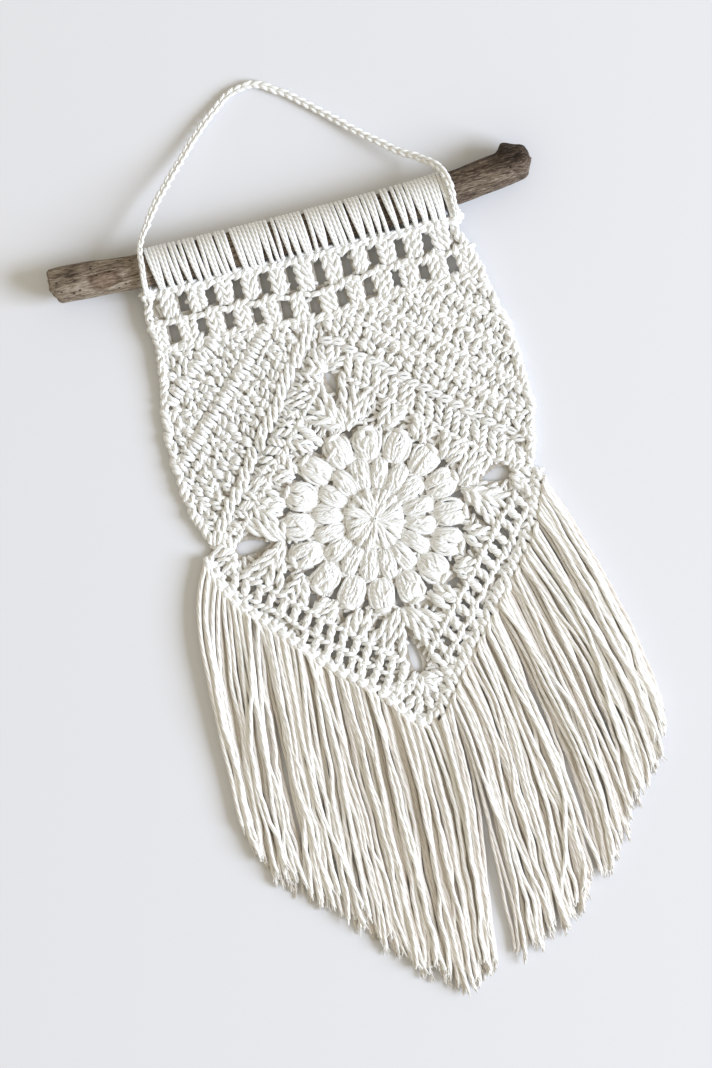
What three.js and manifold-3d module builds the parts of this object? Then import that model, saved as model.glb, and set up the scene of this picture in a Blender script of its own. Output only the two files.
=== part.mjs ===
// A crochet wall hanging, lying face up: a sunburst square set on one corner and worked on into a
// rectangle, lashed by its top edge to a driftwood stick, with a fringe knotted along its two lower
// edges and a chain cord to hang it by.
// Millimetres. X runs along the stick, Y up the hanging, Z away from the surface that it lies on.
// The origin is the middle of the sunburst, on the back of the cloth.
import * as THREE from "three";
import { mergeVertices } from "three/addons/utils/BufferGeometryUtils.js";
import Module from "manifold-3d";

const wasm = await Module();
wasm.setup();

// Yarn, cloth and clearances
const YARN = 2.2; // thickness of the cotton yarn
const SHEET = 3; // the cloth between its raised stitches
const GAP = 0.3; // between neighbouring pieces
const BURIED = 1; // how far a raised stitch is sunk into the cloth
const POST_SUNK = 0.4; // how far the widest part of a tall stitch lies under the cloth's face
const CUT = 20; // height of the tools that cut through the cloth
const FAR = 300; // past the end of the hanging, in any direction

// Sunburst: a round centre, a round of puffs and a round of bobbles, turned a little on the stick
const TURN = THREE.MathUtils.degToRad(2.7);
const PETALS = 16;
const PETAL_STEP = (2 * Math.PI) / PETALS;
// Profile of the round centre, as shares of its radius and height, from its rim to its middle
const CENTRE = { radius: 16.5, high: 2.6, groove: 0.5 };
const CENTRE_PROFILE = [
  { out: 1, up: 0.08 },
  { out: 0.86, up: 0.8 },
  { out: 0.3, up: 1 },
  { out: 0, up: 0.7 },
];
const PUFF = { from: 16.6, to: 31.6, wide: 9.2, high: 2.4 };
const BOBBLE = { from: 31.2, to: 49.6, wide: 13.2, high: 3.2 };
const PETAL = { facets: 8, foot: 1.04, shoulder: 0.76, shoulderHigh: 0.74 };
// Length of the gap at the outer end between two bobbles, anticlockwise from the right-hand corner
const BOBBLE_GAPS = [8, 5, 4.5, 0, 4, 4, 6, 5, 9, 9, 11, 6, 10, 7, 9, 9];
const BOBBLE_GAP = { outer: 50.2, wideOuter: 4.6, wideInner: 1.2 };

// The rounds outside the sunburst, as distances from its middle to the middle of a side
const GROUP_ROUND = { out: 55.5, long: 11, wide: 4.4, high: 1.8, perSide: 3, spread: 18.5, fan: 0.12 };
const TREBLE_ROUND = { out: 66.3, long: 8, wide: 4.6, high: 1.7 };
const EDGE_ROUND = { out: 75.4, long: 5.4, wide: 4.4, high: 1.6 };
const ROUND_LINES = [61, 71.5];
const ROUND_LINE_HALF = 46;
const LINE = { wide: 2.6, high: 1.4, inset: 2 };
const RIDGE = { crown: 0.4, foot: 0.1 }; // share of its width that is level, and its upright foot
const LEAN = THREE.MathUtils.degToRad(11); // stitches of the lower sides lean towards the plumb line
const LOWER_SLOTS = [
  { round: TREBLE_ROUND, count: 12, pitch: 7.5, first: -40, long: 6.4, wide: 2.3 },
  { round: EDGE_ROUND, count: 13, pitch: 7.4, first: -44, long: 4.4, wide: 2.1 },
];
// Open corners of the square: teardrops that point to the middle
const EYELETS = [
  { x: -68, y: 1.5, long: 19, wide: 11, towards: 178 },
  { x: 70.5, y: 7.5, long: 15, wide: 10.5, towards: 4 },
  { x: -4.5, y: 79, long: 13, wide: 6.4, towards: 94 },
  { x: 3.2, y: -77, long: 21, wide: 8, towards: 274 },
];
const TEARDROP = { corners: 12, narrow: 0.35 };
const CORNER_FAN = { posts: 3, first: 9, step: 8.2, from: 52, long: 15, wide: 4.4, high: 1.9 };
// Gaps between the groups of stitches on the lower sides, narrower at one end
const GAP_TAPER = 0.82;
const GROUP_GAPS = [
  { x: -56, y: -18.5, long: 9, wide: 3.2, turn: 25 },
  { x: -43.5, y: -35.5, long: 8, wide: 4.4, turn: 75 },
  { x: -27, y: -47, long: 4.6, wide: 2.8, turn: 0 },
  { x: -12, y: -57, long: 6.5, wide: 3.2, turn: 60 },
  { x: 56, y: -11, long: 9, wide: 4, turn: 140 },
  { x: 46, y: -28, long: 5, wide: 2.4, turn: 75 },
  { x: 34, y: -44.5, long: 6.5, wide: 5, turn: 20 },
  { x: 18, y: -56, long: 6.5, wide: 2.4, turn: 125 },
];

// Corner pieces: rows that run along the two upper sides of the square
const CORNER_ROWS = [66, 74.8, 84.5, 97.5, 110, 122, 134];
const CORNER_ROW = { wide: 8.6, high: 1.5, half: 75 };
const CORNERS_MEET = { x: -4, from: 50, to: 111 };
const CORNER_TOP = [
  { out: 40, y: 115.5 },
  { out: 90, y: 117 },
];
const CORNER_INSET = 1;

// Heading: two rows of clusters with gaps between them
const HEADING_ROWS = [
  { y: 141.8, gaps: 10, first: -73, pitch: 15.3, high: 11.4, wide: 5, lastWide: 8.5, dip: 0 },
  { y: 126.2, gaps: 11, first: -82, pitch: 15.7, high: 10.2, wide: 5, lastWide: 7.5, dip: 4 },
];
const DIP_REACH = 26; // half width of the stretch where the lower row dips
const CLUSTER = { long: 14, wide: 4.2, high: 1.9, step: 2.9, fan: 9 };
const HEADING_LINES = [
  { y: 148.4, dip: 0 },
  { y: 134, dip: 2 },
];

// Outline of the cloth: its two sides from the heading down, and the tip of the lower corner
const SIDES = [
  { y: 149.9, left: -90.5, right: 82 },
  { y: 141, left: -95.5, right: 84.5 },
  { y: 130, left: -95, right: 88.5 },
  { y: 118, left: -94.5, right: 91.5 },
  { y: 100, left: -97, right: 95.5 },
  { y: 80, left: -100.5, right: 99 },
  { y: 60, left: -101.5, right: 100.5 },
  { y: 42, left: -100.5, right: 100.5 },
  { y: 25, left: -97.5, right: 97 },
  { y: 8, left: -91.5, right: 92 },
  { y: -25, left: -88.5, right: 86 },
];
const TIP = { x: 2.5, y: -108.5 };
const HEM_FROM = SIDES.length - 2; // the fringe begins at this row of the sides

// Driftwood stick, a row for each station along it
const STICK = [
  { x: -144, y: 166.6, high: 5.6, deep: 5.4, lump: 0.03 },
  { x: -141.5, y: 166.2, high: 8, deep: 7.6, lump: 0.05 },
  { x: -133, y: 165.4, high: 9.9, deep: 9.2, lump: 0.06 },
  { x: -118, y: 164.8, high: 10, deep: 9.6, lump: 0.04 },
  { x: -104, y: 163, high: 9.6, deep: 9.6, lump: 0.05 },
  { x: -88, y: 162.4, high: 9.6, deep: 9.5, lump: 0.03 },
  { x: -40, y: 162, high: 9.4, deep: 9.4, lump: 0.02 },
  { x: 10, y: 162, high: 9.4, deep: 9.4, lump: 0.02 },
  { x: 60, y: 163, high: 9.4, deep: 9.4, lump: 0.03 },
  { x: 84, y: 164.8, high: 9.7, deep: 9.5, lump: 0.04 },
  { x: 100, y: 166.6, high: 10.4, deep: 9.6, lump: 0.06 },
  { x: 114, y: 168.4, high: 11, deep: 9.8, lump: 0.07 },
  { x: 126, y: 170.2, high: 10.4, deep: 9.4, lump: 0.05 },
  { x: 130.5, y: 170.6, high: 8, deep: 7.4, lump: 0.04 },
  { x: 132, y: 170.8, high: 5.4, deep: 5, lump: 0.03 },
];
const STICK_FACETS = 12;
const STICK_LUMP_TURN = 0.6;
const STICK_BOTTOM = YARN + GAP; // the lashing holds the stick off the surface
const STUB = { x: 118.5, y: 177, z: 14, long: 8, thick: 4.6, tip: 3.2, lean: -0.35 };

// Lashing
const WRAP = { from: -86.5, to: 81, ribs: 38, groove: 0.75, boreEvery: 8 };
const WRAP_GAPS = [-70, -60, -42, -19, 1, 25, 44, 50]; // where the wood shows between two turns
const WRAP_GAP_GROOVE = 1.5;
// Where it passes through the cloth's top edge, and which facet of its section reaches there
const WRAP_EDGE = { y: SIDES[0].y + GAP, z: 1.3, facet: 7 };

// Fringe: knots and strands, and where strands along each lower edge begin and end
const KNOTS = 24;
const KNOT = { long: 4.8, wide: 6, high: 1.9, turn: 0.8 };
const STRIP = { wide: 5, high: 4.6, parting: 0.4 };
const STRAND = { wide: 2.1, high: 2, steps: 5, perLayer: 36, ragged: 5 };
const SWAY = { by: 0.8, turnsAcross: 3.7, turnsDown: 0.8 }; // strands lie in shallow waves together
const RAGGED_STEP = 2.4;
const STRAND_LAYERS = [
  { bottom: 0, shift: 0.25, phase: 0 },
  { bottom: STRAND.high + GAP, shift: 0.75, phase: 2.1 },
];
const FRINGE = {
  left: [
    { at: 0, rootX: -95, rootY: 6, endX: -110.5, endY: -150, curl: 7 },
    { at: 0.12, rootX: -91, rootY: -25.5, endX: -100, endY: -176, curl: 1.8 },
    { at: 0.4, rootX: -61.5, rootY: -53.7, endX: -68, endY: -203, curl: 1.5 },
    { at: 0.7, rootX: -30.4, rootY: -82.1, endX: -36, endY: -242, curl: 1.5 },
    { at: 0.91, rootX: -9, rootY: -101.7, endX: -10, endY: -260, curl: 1.5 },
    { at: 1, rootX: 0, rootY: -109.8, endX: 4, endY: -249, curl: 2.4 },
  ],
  right: [
    { at: 0, rootX: 95.4, rootY: 6, endX: 129.5, endY: -142, curl: 1.6 },
    { at: 0.12, rootX: 88.5, rootY: -25.5, endX: 111.5, endY: -174, curl: 1.5 },
    { at: 0.4, rootX: 61.4, rootY: -53.6, endX: 80.5, endY: -213, curl: 1.4 },
    { at: 0.7, rootX: 33, rootY: -82, endX: 47, endY: -240, curl: 1.5 },
    { at: 1, rootX: 5, rootY: -109.8, endX: 15.5, endY: -251, curl: 1.5 },
  ],
};

// Hanging cord: a crocheted chain from one top corner of the cloth to the other, over the stick
const CORD = { thick: 4, sides: 8, steps: 62 };
const CORD_ROUTE = [
  [-91.6, 151.6, 5.4],
  [-91.4, 149.7, 12.3],
  [-91, 151.9, 19.8],
  [-90.2, 158, 24.4],
  [-89.4, 165.8, 24.8],
  [-88.9, 172, 21.6],
  [-86.8, 178.2, 18],
  [-82.1, 185.8, 15],
  [-72.6, 198.6, 12],
  [-64, 208.2, 9],
  [-53, 219.4, 6],
  [-38, 233.8, 3.8],
  [-26, 243.2, 2.4],
  [-17.5, 247.5, 2.1],
  [-8, 248.2, 2.1],
  [2, 243.8, 2.1],
  [14, 234.8, 2.3],
  [30, 220.4, 3.4],
  [46, 205.6, 5.6],
  [60, 194, 8.6],
  [71, 186, 12.8],
  [78.4, 180, 18],
  [82, 174.4, 22.4],
  [83.4, 167, 25.3],
  [83.7, 160, 24.5],
  [83.7, 153.9, 20],
  [83.6, 151.6, 12.6],
  [83.4, 153.8, 5],
];

const COTTON = new THREE.MeshStandardMaterial({ color: 0xece8df, roughness: 0.95, metalness: 0 });
const DRIFTWOOD = new THREE.MeshStandardMaterial({ color: 0x84705c, roughness: 0.85, metalness: 0 });

// A closed geometry as a solid that can be joined and cut
function solid(geometry) {
  const bare = new THREE.BufferGeometry();
  bare.setAttribute("position", geometry.getAttribute("position"));
  bare.setIndex(geometry.index);
  const merged = mergeVertices(bare, 1e-4);
  return new wasm.Manifold(
    new wasm.Mesh({
      numProp: 3,
      vertProperties: new Float32Array(merged.getAttribute("position").array),
      triVerts: new Uint32Array(merged.index.array),
    }),
  );
}

function geometryOf(manifold) {
  const mesh = manifold.getMesh();
  const geometry = new THREE.BufferGeometry();
  geometry.setAttribute("position", new THREE.BufferAttribute(mesh.vertProperties, 3));
  geometry.setIndex(new THREE.BufferAttribute(mesh.triVerts, 1));
  return geometry;
}

function joinedSolids(solids) {
  return solids.reduce((whole, piece) => whole.add(piece));
}

function joined(geometries) {
  return joinedSolids(geometries.map(solid));
}

function node(name, manifold, material) {
  const mesh = new THREE.Mesh(geometryOf(manifold), material);
  mesh.name = name;
  return mesh;
}

// Rings of the same number of points, joined into a closed skin with a flat end at each side
function loft(rings) {
  const count = rings[0].length;
  const points = rings.flat();
  const faces = [];
  for (let i = 0; i + 1 < rings.length; i++) {
    for (let k = 0; k < count; k++) {
      const a = i * count + k;
      const b = i * count + ((k + 1) % count);
      faces.push(a, b, b + count, a, b + count, a + count);
    }
  }
  const last = (rings.length - 1) * count;
  for (let k = 1; k + 1 < count; k++) {
    faces.push(0, k + 1, k, last, last + k, last + k + 1);
  }
  return skin(points, faces);
}

function skin(points, faces) {
  const geometry = new THREE.BufferGeometry().setFromPoints(points);
  geometry.setIndex(faces);
  return geometry;
}

// A flat outline raised into a plate between two heights
function plate(outline, bottom, top) {
  const shape = new THREE.Shape(outline);
  const geometry = new THREE.ExtrudeGeometry(shape, { depth: top - bottom, bevelEnabled: false });
  return geometry.translate(0, 0, bottom);
}

function tool(outline) {
  return plate(outline, -CUT / 2, CUT / 2);
}

function spot(x, y) {
  return new THREE.Vector2(x, y);
}

// A point at an angle and a distance from the middle of the sunburst
function polar(angle, distance) {
  return spot(distance * Math.cos(angle), distance * Math.sin(angle));
}

function mix(a, b, share) {
  return a + (b - a) * share;
}

// A table's columns worked out between its rows, along the column named by key
function between(table, key, value) {
  const next = Math.max(1, table.findIndex((row) => row[key] >= value));
  const found = value > table[table.length - 1][key] ? table.length - 1 : next;
  const [low, high] = [table[found - 1], table[found]];
  const share = (value - low[key]) / (high[key] - low[key]);
  const columns = Object.keys(low).map((column) => [column, mix(low[column], high[column], share)]);
  return Object.fromEntries(columns);
}

// A rounded petal of yarn that stands on the cloth
function petal(at, turn, long, wide, high) {
  const { facets, foot, shoulder, shoulderHigh } = PETAL;
  const side = [spot(foot, -BURIED), spot(shoulder, high * shoulderHigh)];
  const profile = [spot(0, -BURIED), ...side, spot(0, high)];
  const geometry = new THREE.LatheGeometry(profile, facets).rotateX(Math.PI / 2);
  return geometry.scale(long / 2, wide / 2, 1).rotateZ(turn).translate(at.x, at.y, SHEET);
}

// The post of one tall stitch: a ridge that tapers to both ends
function post(at, turn, long, wide, high) {
  const geometry = new THREE.OctahedronGeometry(1).scale(long / 2, wide / 2, high);
  return geometry.rotateZ(turn).translate(at.x, at.y, SHEET - POST_SUNK);
}

// A row of stitches: a long ridge with sloping sides
function ridge(from, to, wide, high) {
  const section = new THREE.Shape([
    spot(-wide / 2, -BURIED),
    spot(wide / 2, -BURIED),
    spot(wide / 2, RIDGE.foot),
    spot((RIDGE.crown * wide) / 2, high),
    spot((-RIDGE.crown * wide) / 2, high),
    spot(-wide / 2, RIDGE.foot),
  ]);
  const run = to.clone().sub(from);
  const geometry = new THREE.ExtrudeGeometry(section, { depth: run.length(), bevelEnabled: false });
  geometry.rotateX(Math.PI / 2).rotateZ(Math.PI / 2 + run.angle());
  return geometry.translate(from.x, from.y, SHEET);
}

// The centre of the sunburst: a low dome with a groove between its stitches
function centreDome() {
  const { radius, high, groove } = CENTRE;
  const face = CENTRE_PROFILE.map(({ out, up }) => spot(radius * out, high * up));
  const profile = [spot(0, -BURIED), spot(radius, -BURIED), ...face];
  const dome = new THREE.LatheGeometry(profile, 2 * PETALS);
  const place = dome.getAttribute("position");
  for (let i = 0; i < place.count; i++) {
    const segment = Math.floor(i / profile.length);
    const raised = place.getY(i) > high / 2 && place.getX(i) ** 2 + place.getZ(i) ** 2 > 1;
    if (raised && segment % 2 === 1) place.setY(i, place.getY(i) - groove);
  }
  return dome.rotateX(Math.PI / 2).rotateZ(TURN).translate(0, 0, SHEET);
}

function sunburst() {
  const round = (shape, halfStep) =>
    Array.from({ length: PETALS }, (_, k) => {
      const angle = TURN + (k + halfStep) * PETAL_STEP;
      const middle = polar(angle, (shape.from + shape.to) / 2);
      return petal(middle, angle, shape.to - shape.from, shape.wide, shape.high);
    });
  return [centreDome(), ...round(PUFF, 0), ...round(BOBBLE, 0.5)];
}

// A side of the square: its outward direction, and points that lie along it and out from the middle
function side(quarter) {
  const angle = TURN + Math.PI / 4 + (quarter * Math.PI) / 2;
  const out = polar(angle, 1);
  const along = polar(angle + Math.PI / 2, 1);
  const at = (run, distance) =>
    spot(out.x * distance + along.x * run, out.y * distance + along.y * run);
  const lower = quarter >= 2;
  const lean = lower ? (quarter === 2 ? LEAN : -LEAN) : 0;
  return { angle, at, lower, lean };
}

const SQUARE = [0, 1, 2, 3].map(side);

// Groups of three stitches that square the sunburst off, and the fans at its corners
function groups() {
  const { out, long, wide, high, perSide, spread, fan } = GROUP_ROUND;
  const found = [];
  for (const { angle, at, lean } of SQUARE) {
    for (let g = 0; g < perSide; g++) {
      const middle = (g - (perSide - 1) / 2) * spread;
      for (const k of [-1, 0, 1]) {
        found.push(post(at(middle + k * wide, out), angle + lean + k * fan, long, wide, high));
      }
    }
  }
  for (let corner = 0; corner < 4; corner++) {
    const middle = TURN + (corner * Math.PI) / 2;
    for (const edge of [-1, 1]) {
      for (let k = 0; k < CORNER_FAN.posts; k++) {
        const angle = middle + edge * THREE.MathUtils.degToRad(CORNER_FAN.first + k * CORNER_FAN.step);
        const place = polar(angle, CORNER_FAN.from + CORNER_FAN.long / 2);
        found.push(post(place, angle, CORNER_FAN.long, CORNER_FAN.wide, CORNER_FAN.high));
      }
    }
  }
  return found;
}

// Posts of the two outer rounds on the lower sides, one beside each slot, and the lines between rounds
function lowerRounds() {
  const found = [];
  for (const { angle, at, lower, lean } of SQUARE) {
    if (!lower) continue;
    for (const { round, count, pitch, first } of LOWER_SLOTS) {
      for (let k = 0; k <= count; k++) {
        const place = at(first + (k - 0.5) * pitch, round.out);
        found.push(post(place, angle + lean, round.long, round.wide, round.high));
      }
    }
    for (const out of ROUND_LINES) {
      found.push(ridge(at(-ROUND_LINE_HALF, out), at(ROUND_LINE_HALF, out), LINE.wide, LINE.high));
    }
  }
  return found;
}

// Rows of the two corner pieces, kept inside the cloth's outline
function cornerRows() {
  const rows = [];
  for (const { at, lower } of SQUARE) {
    if (lower) continue;
    for (const out of CORNER_ROWS) {
      const { wide, high, half } = CORNER_ROW;
      rows.push(ridge(at(-half, out), at(half, out), wide, high));
    }
  }
  const sides = SIDES.filter((row) => row.y > 0 && row.y < CORNER_TOP[0].y);
  const clip = (mirror, edge) => [
    spot(CORNERS_MEET.x, CORNERS_MEET.from),
    spot(CORNERS_MEET.x, CORNERS_MEET.to),
    ...CORNER_TOP.map(({ out, y }) => spot(mirror * out, y)),
    ...sides.map((row) => spot(row[edge] - mirror * CORNER_INSET, row.y)),
  ];
  const left = clip(-1, "left").reverse();
  const right = clip(1, "right");
  const room = joined([tool(left), tool(right)]);
  return joinedSolids(rows.map((row) => solid(row).intersect(room)));
}

// How far the heading dips above the square's top corner
function dipAt(x, dip) {
  return dip * Math.exp(-((x / DIP_REACH) ** 2));
}

function headingClusters() {
  const found = [];
  for (const { y, gaps, first, pitch, dip } of HEADING_ROWS) {
    for (let c = 0; c <= gaps; c++) {
      const x = first + (c - 0.5) * pitch;
      for (const k of [-1, 0, 1]) {
        const turn = Math.PI / 2 - THREE.MathUtils.degToRad(k * CLUSTER.fan);
        const place = spot(x + k * CLUSTER.step, y - dipAt(x, dip));
        found.push(post(place, turn, CLUSTER.long, CLUSTER.wide, CLUSTER.high));
      }
    }
  }
  for (const { y, dip } of HEADING_LINES) {
    const { left, right } = between([...SIDES].reverse(), "y", y);
    const middle = spot((left + right) / 2, y - dip);
    found.push(ridge(spot(left + LINE.inset, y), middle, LINE.wide, LINE.high));
    found.push(ridge(middle, spot(right - LINE.inset, y), LINE.wide, LINE.high));
  }
  return found;
}

// A four-cornered gap about a point, long in the direction it is turned to
function slot(at, turn, long, wideFrom, wideTo) {
  const corners = [
    spot(-long / 2, -wideFrom / 2),
    spot(long / 2, -wideTo / 2),
    spot(long / 2, wideTo / 2),
    spot(-long / 2, wideFrom / 2),
  ];
  return tool(corners.map((corner) => corner.rotateAround(spot(0, 0), turn).add(at)));
}

function teardrop({ x, y, long, wide, towards }) {
  const turn = THREE.MathUtils.degToRad(towards);
  const corners = Array.from({ length: TEARDROP.corners }, (_, k) => {
    const angle = (2 * Math.PI * k) / TEARDROP.corners;
    const taper = mix(TEARDROP.narrow, 1, (1 + Math.cos(angle)) / 2);
    return spot((long / 2) * Math.cos(angle), (wide / 2) * Math.sin(angle) * taper);
  });
  return tool(corners.map((corner) => corner.rotateAround(spot(0, 0), turn).add(spot(x, y))));
}

// Every gap that is cut through the cloth
function gaps() {
  const found = EYELETS.map(teardrop);
  BOBBLE_GAPS.forEach((long, k) => {
    if (!long) return;
    const angle = TURN + k * PETAL_STEP;
    const middle = polar(angle, BOBBLE_GAP.outer - long / 2);
    found.push(slot(middle, angle, long, BOBBLE_GAP.wideInner, BOBBLE_GAP.wideOuter));
  });
  for (const { x, y, long, wide, turn } of GROUP_GAPS) {
    found.push(slot(spot(x, y), THREE.MathUtils.degToRad(turn), long, wide, wide * GAP_TAPER));
  }
  for (const { angle, at, lower, lean } of SQUARE) {
    if (!lower) continue;
    for (const { round, count, pitch, first, long, wide } of LOWER_SLOTS) {
      for (let k = 0; k < count; k++) {
        found.push(slot(at(first + k * pitch, round.out), angle + lean, long, wide, wide));
      }
    }
  }
  for (const { y, gaps: count, first, pitch, high, wide, lastWide, dip } of HEADING_ROWS) {
    for (let k = 0; k < count; k++) {
      const x = first + k * pitch;
      const across = k === count - 1 ? lastWide : wide;
      found.push(slot(spot(x, y - dipAt(x, dip)), Math.PI / 2, high, across, across * GAP_TAPER));
    }
  }
  return found;
}

function panelOutline() {
  const left = SIDES.map((row) => spot(row.left, row.y));
  const right = SIDES.map((row) => spot(row.right, row.y)).reverse();
  return [...left, spot(TIP.x, TIP.y), ...right];
}

function crochetPanel() {
  const outline = panelOutline();
  const stitches = joined([...sunburst(), ...groups(), ...lowerRounds(), ...headingClusters()]);
  const raised = solid(plate(outline, 0, SHEET)).add(stitches.intersect(solid(tool(outline))));
  return gaps().reduce((cloth, gap) => cloth.subtract(solid(gap)), raised.add(cornerRows()));
}

// A line moved outwards (to the right of its run) by a distance, with its corners kept sharp
function offset(line, distance) {
  return line.map((point, i) => {
    const before = point.clone().sub(line[Math.max(i - 1, 0)]);
    const after = line[Math.min(i + 1, line.length - 1)].clone().sub(point);
    const runs = [before, after].filter((run) => run.length() > 0).map((run) => run.normalize());
    const normals = runs.map((run) => spot(run.y, -run.x));
    const sum = normals.reduce((total, normal) => total.add(normal), spot(0, 0)).normalize();
    return point.clone().addScaledVector(sum, distance / sum.dot(normals[0]));
  });
}

// The strip of knots along both lower edges, from one side of the cloth round its tip to the other
function knotStrip() {
  const down = SIDES.slice(HEM_FROM);
  const hem = [
    ...down.map((row) => spot(row.right, row.y)),
    spot(TIP.x, TIP.y),
    ...down.map((row) => spot(row.left, row.y)).reverse(),
  ].reverse();
  const inner = offset(hem, GAP);
  const outer = offset(hem, GAP + STRIP.wide);
  return plate([...inner, ...outer.reverse()], 0, STRIP.high);
}

// One strand, three-sided with a flat base, from its root in the strip to its cut end
function strand(table, at, layer, ragged) {
  const { rootX, rootY, endX, endY, curl } = between(table, "at", at);
  const rings = [];
  for (let i = 0; i <= STRAND.steps; i++) {
    const share = i / STRAND.steps;
    const wave = 2 * Math.PI * (SWAY.turnsAcross * at + SWAY.turnsDown * share) + layer.phase;
    const x = mix(rootX, endX, 1 - (1 - share) ** curl) + SWAY.by * share * Math.sin(wave);
    const y = mix(rootY, endY - ragged, share);
    rings.push([
      new THREE.Vector3(x - STRAND.wide / 2, y, layer.bottom),
      new THREE.Vector3(x + STRAND.wide / 2, y, layer.bottom),
      new THREE.Vector3(x, y, layer.bottom + STRAND.high),
    ]);
  }
  return loft(rings);
}

function fringe(name) {
  const table = FRINGE[name];
  const mirror = name === "left" ? -1 : 1;
  const parting = TIP.x + (mirror * STRIP.parting) / 2;
  const half = [spot(parting, -FAR), spot(mirror * FAR, -FAR), spot(mirror * FAR, FAR), spot(parting, FAR)];
  const strip = solid(knotStrip()).intersect(solid(tool(half)));
  const knots = Array.from({ length: KNOTS }, (_, k) => {
    const { rootX, rootY } = between(table, "at", (k + 0.5) / KNOTS);
    const knot = post(spot(rootX, rootY), -mirror * KNOT.turn, KNOT.long, KNOT.wide, KNOT.high);
    return knot.translate(0, 0, STRIP.high - SHEET);
  });
  const strands = STRAND_LAYERS.flatMap((layer) =>
    Array.from({ length: STRAND.perLayer }, (_, k) => {
      const ragged = STRAND.ragged * Math.sin(k * RAGGED_STEP + layer.phase);
      return strand(table, (k + layer.shift) / STRAND.perLayer, layer, ragged);
    }),
  );
  return strip.add(joined([...knots, ...strands]));
}

// A ring of points about the stick at one place along it, standing off its wood by a distance
function stickRing(x, standOff) {
  const { y, high, deep, lump } = between(STICK, "x", x);
  return Array.from({ length: STICK_FACETS }, (_, k) => {
    const angle = (2 * Math.PI * (k + 0.5)) / STICK_FACETS;
    const round = 1 + lump * Math.cos(3 * angle + STICK_LUMP_TURN);
    const across = Math.cos(angle) * (high * round + standOff);
    const up = Math.sin(angle) * (deep * round + standOff);
    return new THREE.Vector3(x, y + across, STICK_BOTTOM + deep * (1 + lump) + up);
  });
}

function driftwoodStick() {
  const branch = new THREE.CylinderGeometry(STUB.tip, STUB.thick, STUB.long, 8);
  branch.rotateZ(STUB.lean).translate(STUB.x, STUB.y, STUB.z);
  return joined([loft(STICK.map((row) => stickRing(row.x, 0))), branch]);
}

// The lashing: a ribbed sleeve that is drawn down to the cloth's top edge on the lower side
function yarnWrap() {
  const pitch = (WRAP.to - WRAP.from) / WRAP.ribs;
  const outer = [];
  const inner = [];
  for (let i = 0; i <= 2 * WRAP.ribs; i++) {
    const x = WRAP.from + (i * pitch) / 2;
    const open = WRAP_GAPS.some((gap) => Math.abs(gap - x) < pitch / 4);
    const groove = i % 2 ? 0 : open ? WRAP_GAP_GROOVE : WRAP.groove;
    const ring = stickRing(x, GAP + YARN - groove);
    ring[WRAP_EDGE.facet].set(x, WRAP_EDGE.y + groove / 2, WRAP_EDGE.z + groove / 2);
    outer.push(ring);
    if (i % WRAP.boreEvery === 0 || i === 2 * WRAP.ribs) inner.push(stickRing(x, GAP));
  }
  const moved = (ring, by) => ring.map((point) => point.clone().setX(point.x + by));
  const bore = [moved(inner[0], -pitch), ...inner, moved(inner[inner.length - 1], pitch)];
  return solid(loft(outer)).subtract(solid(loft(bore)));
}

function hangingCord() {
  const route = new THREE.CatmullRomCurve3(CORD_ROUTE.map((point) => new THREE.Vector3(...point)));
  const section = new THREE.Shape(
    Array.from({ length: CORD.sides }, (_, k) => {
      const angle = (2 * Math.PI * (k + 0.5)) / CORD.sides;
      return polar(angle, CORD.thick / 2);
    }),
  );
  const run = { steps: CORD.steps, extrudePath: route, bevelEnabled: false };
  return solid(new THREE.ExtrudeGeometry(section, run));
}

const hanging = new THREE.Group();
hanging.name = "crochet_wall_hanging";
hanging.add(
  node("driftwood_stick", driftwoodStick(), DRIFTWOOD),
  node("yarn_wrap", yarnWrap(), COTTON),
  node("crochet_panel", crochetPanel(), COTTON),
  node("fringe_left", fringe("left"), COTTON),
  node("fringe_right", fringe("right"), COTTON),
  node("hanging_cord", hangingCord(), COTTON),
);

export default hanging;
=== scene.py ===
# A crochet wall hanging on a driftwood stick, laid face up on a pale floor and made yarn by yarn.
# The paths of the yarn are worked out in millimetres, in the part's own frame, and made in metres.
import math

import bpy
import numpy as np
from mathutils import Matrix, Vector, noise


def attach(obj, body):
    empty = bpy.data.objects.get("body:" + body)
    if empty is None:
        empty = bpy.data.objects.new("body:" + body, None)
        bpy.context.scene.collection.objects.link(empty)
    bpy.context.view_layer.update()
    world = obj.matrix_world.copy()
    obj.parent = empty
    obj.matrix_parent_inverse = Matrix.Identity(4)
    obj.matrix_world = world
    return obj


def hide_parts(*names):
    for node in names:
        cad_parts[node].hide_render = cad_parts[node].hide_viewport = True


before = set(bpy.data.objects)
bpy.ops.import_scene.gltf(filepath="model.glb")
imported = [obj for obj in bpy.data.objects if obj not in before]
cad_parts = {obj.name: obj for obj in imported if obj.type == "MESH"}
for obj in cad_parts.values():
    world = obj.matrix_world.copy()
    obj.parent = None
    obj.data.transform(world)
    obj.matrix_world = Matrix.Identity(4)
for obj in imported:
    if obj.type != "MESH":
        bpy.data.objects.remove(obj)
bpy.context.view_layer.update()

# Camera
# It looks straight down from well above. The hanging lies turned in the frame, with its cord at the
# top left, so the camera is turned by the same angle about the vertical.
MM = 0.001
FRAME_TALL = 0.5874  # what the height of the picture covers at the cloth
EYE_UP = 2.2
TURNED = math.radians(14)
LOOKS_AT = (-0.0118, -0.0054)


def put(name, data):
    """A new object in the scene."""
    made = bpy.data.objects.new(name, data)
    bpy.context.scene.collection.objects.link(made)
    return made


lens = bpy.data.cameras.new("camera")
lens.sensor_width = 36
lens.lens = lens.sensor_width * EYE_UP / FRAME_TALL
eye = put("camera", lens)
eye.location = (*LOOKS_AT, EYE_UP)
eye.rotation_euler = (0, 0, -TURNED)
bpy.context.scene.camera = eye

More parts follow.
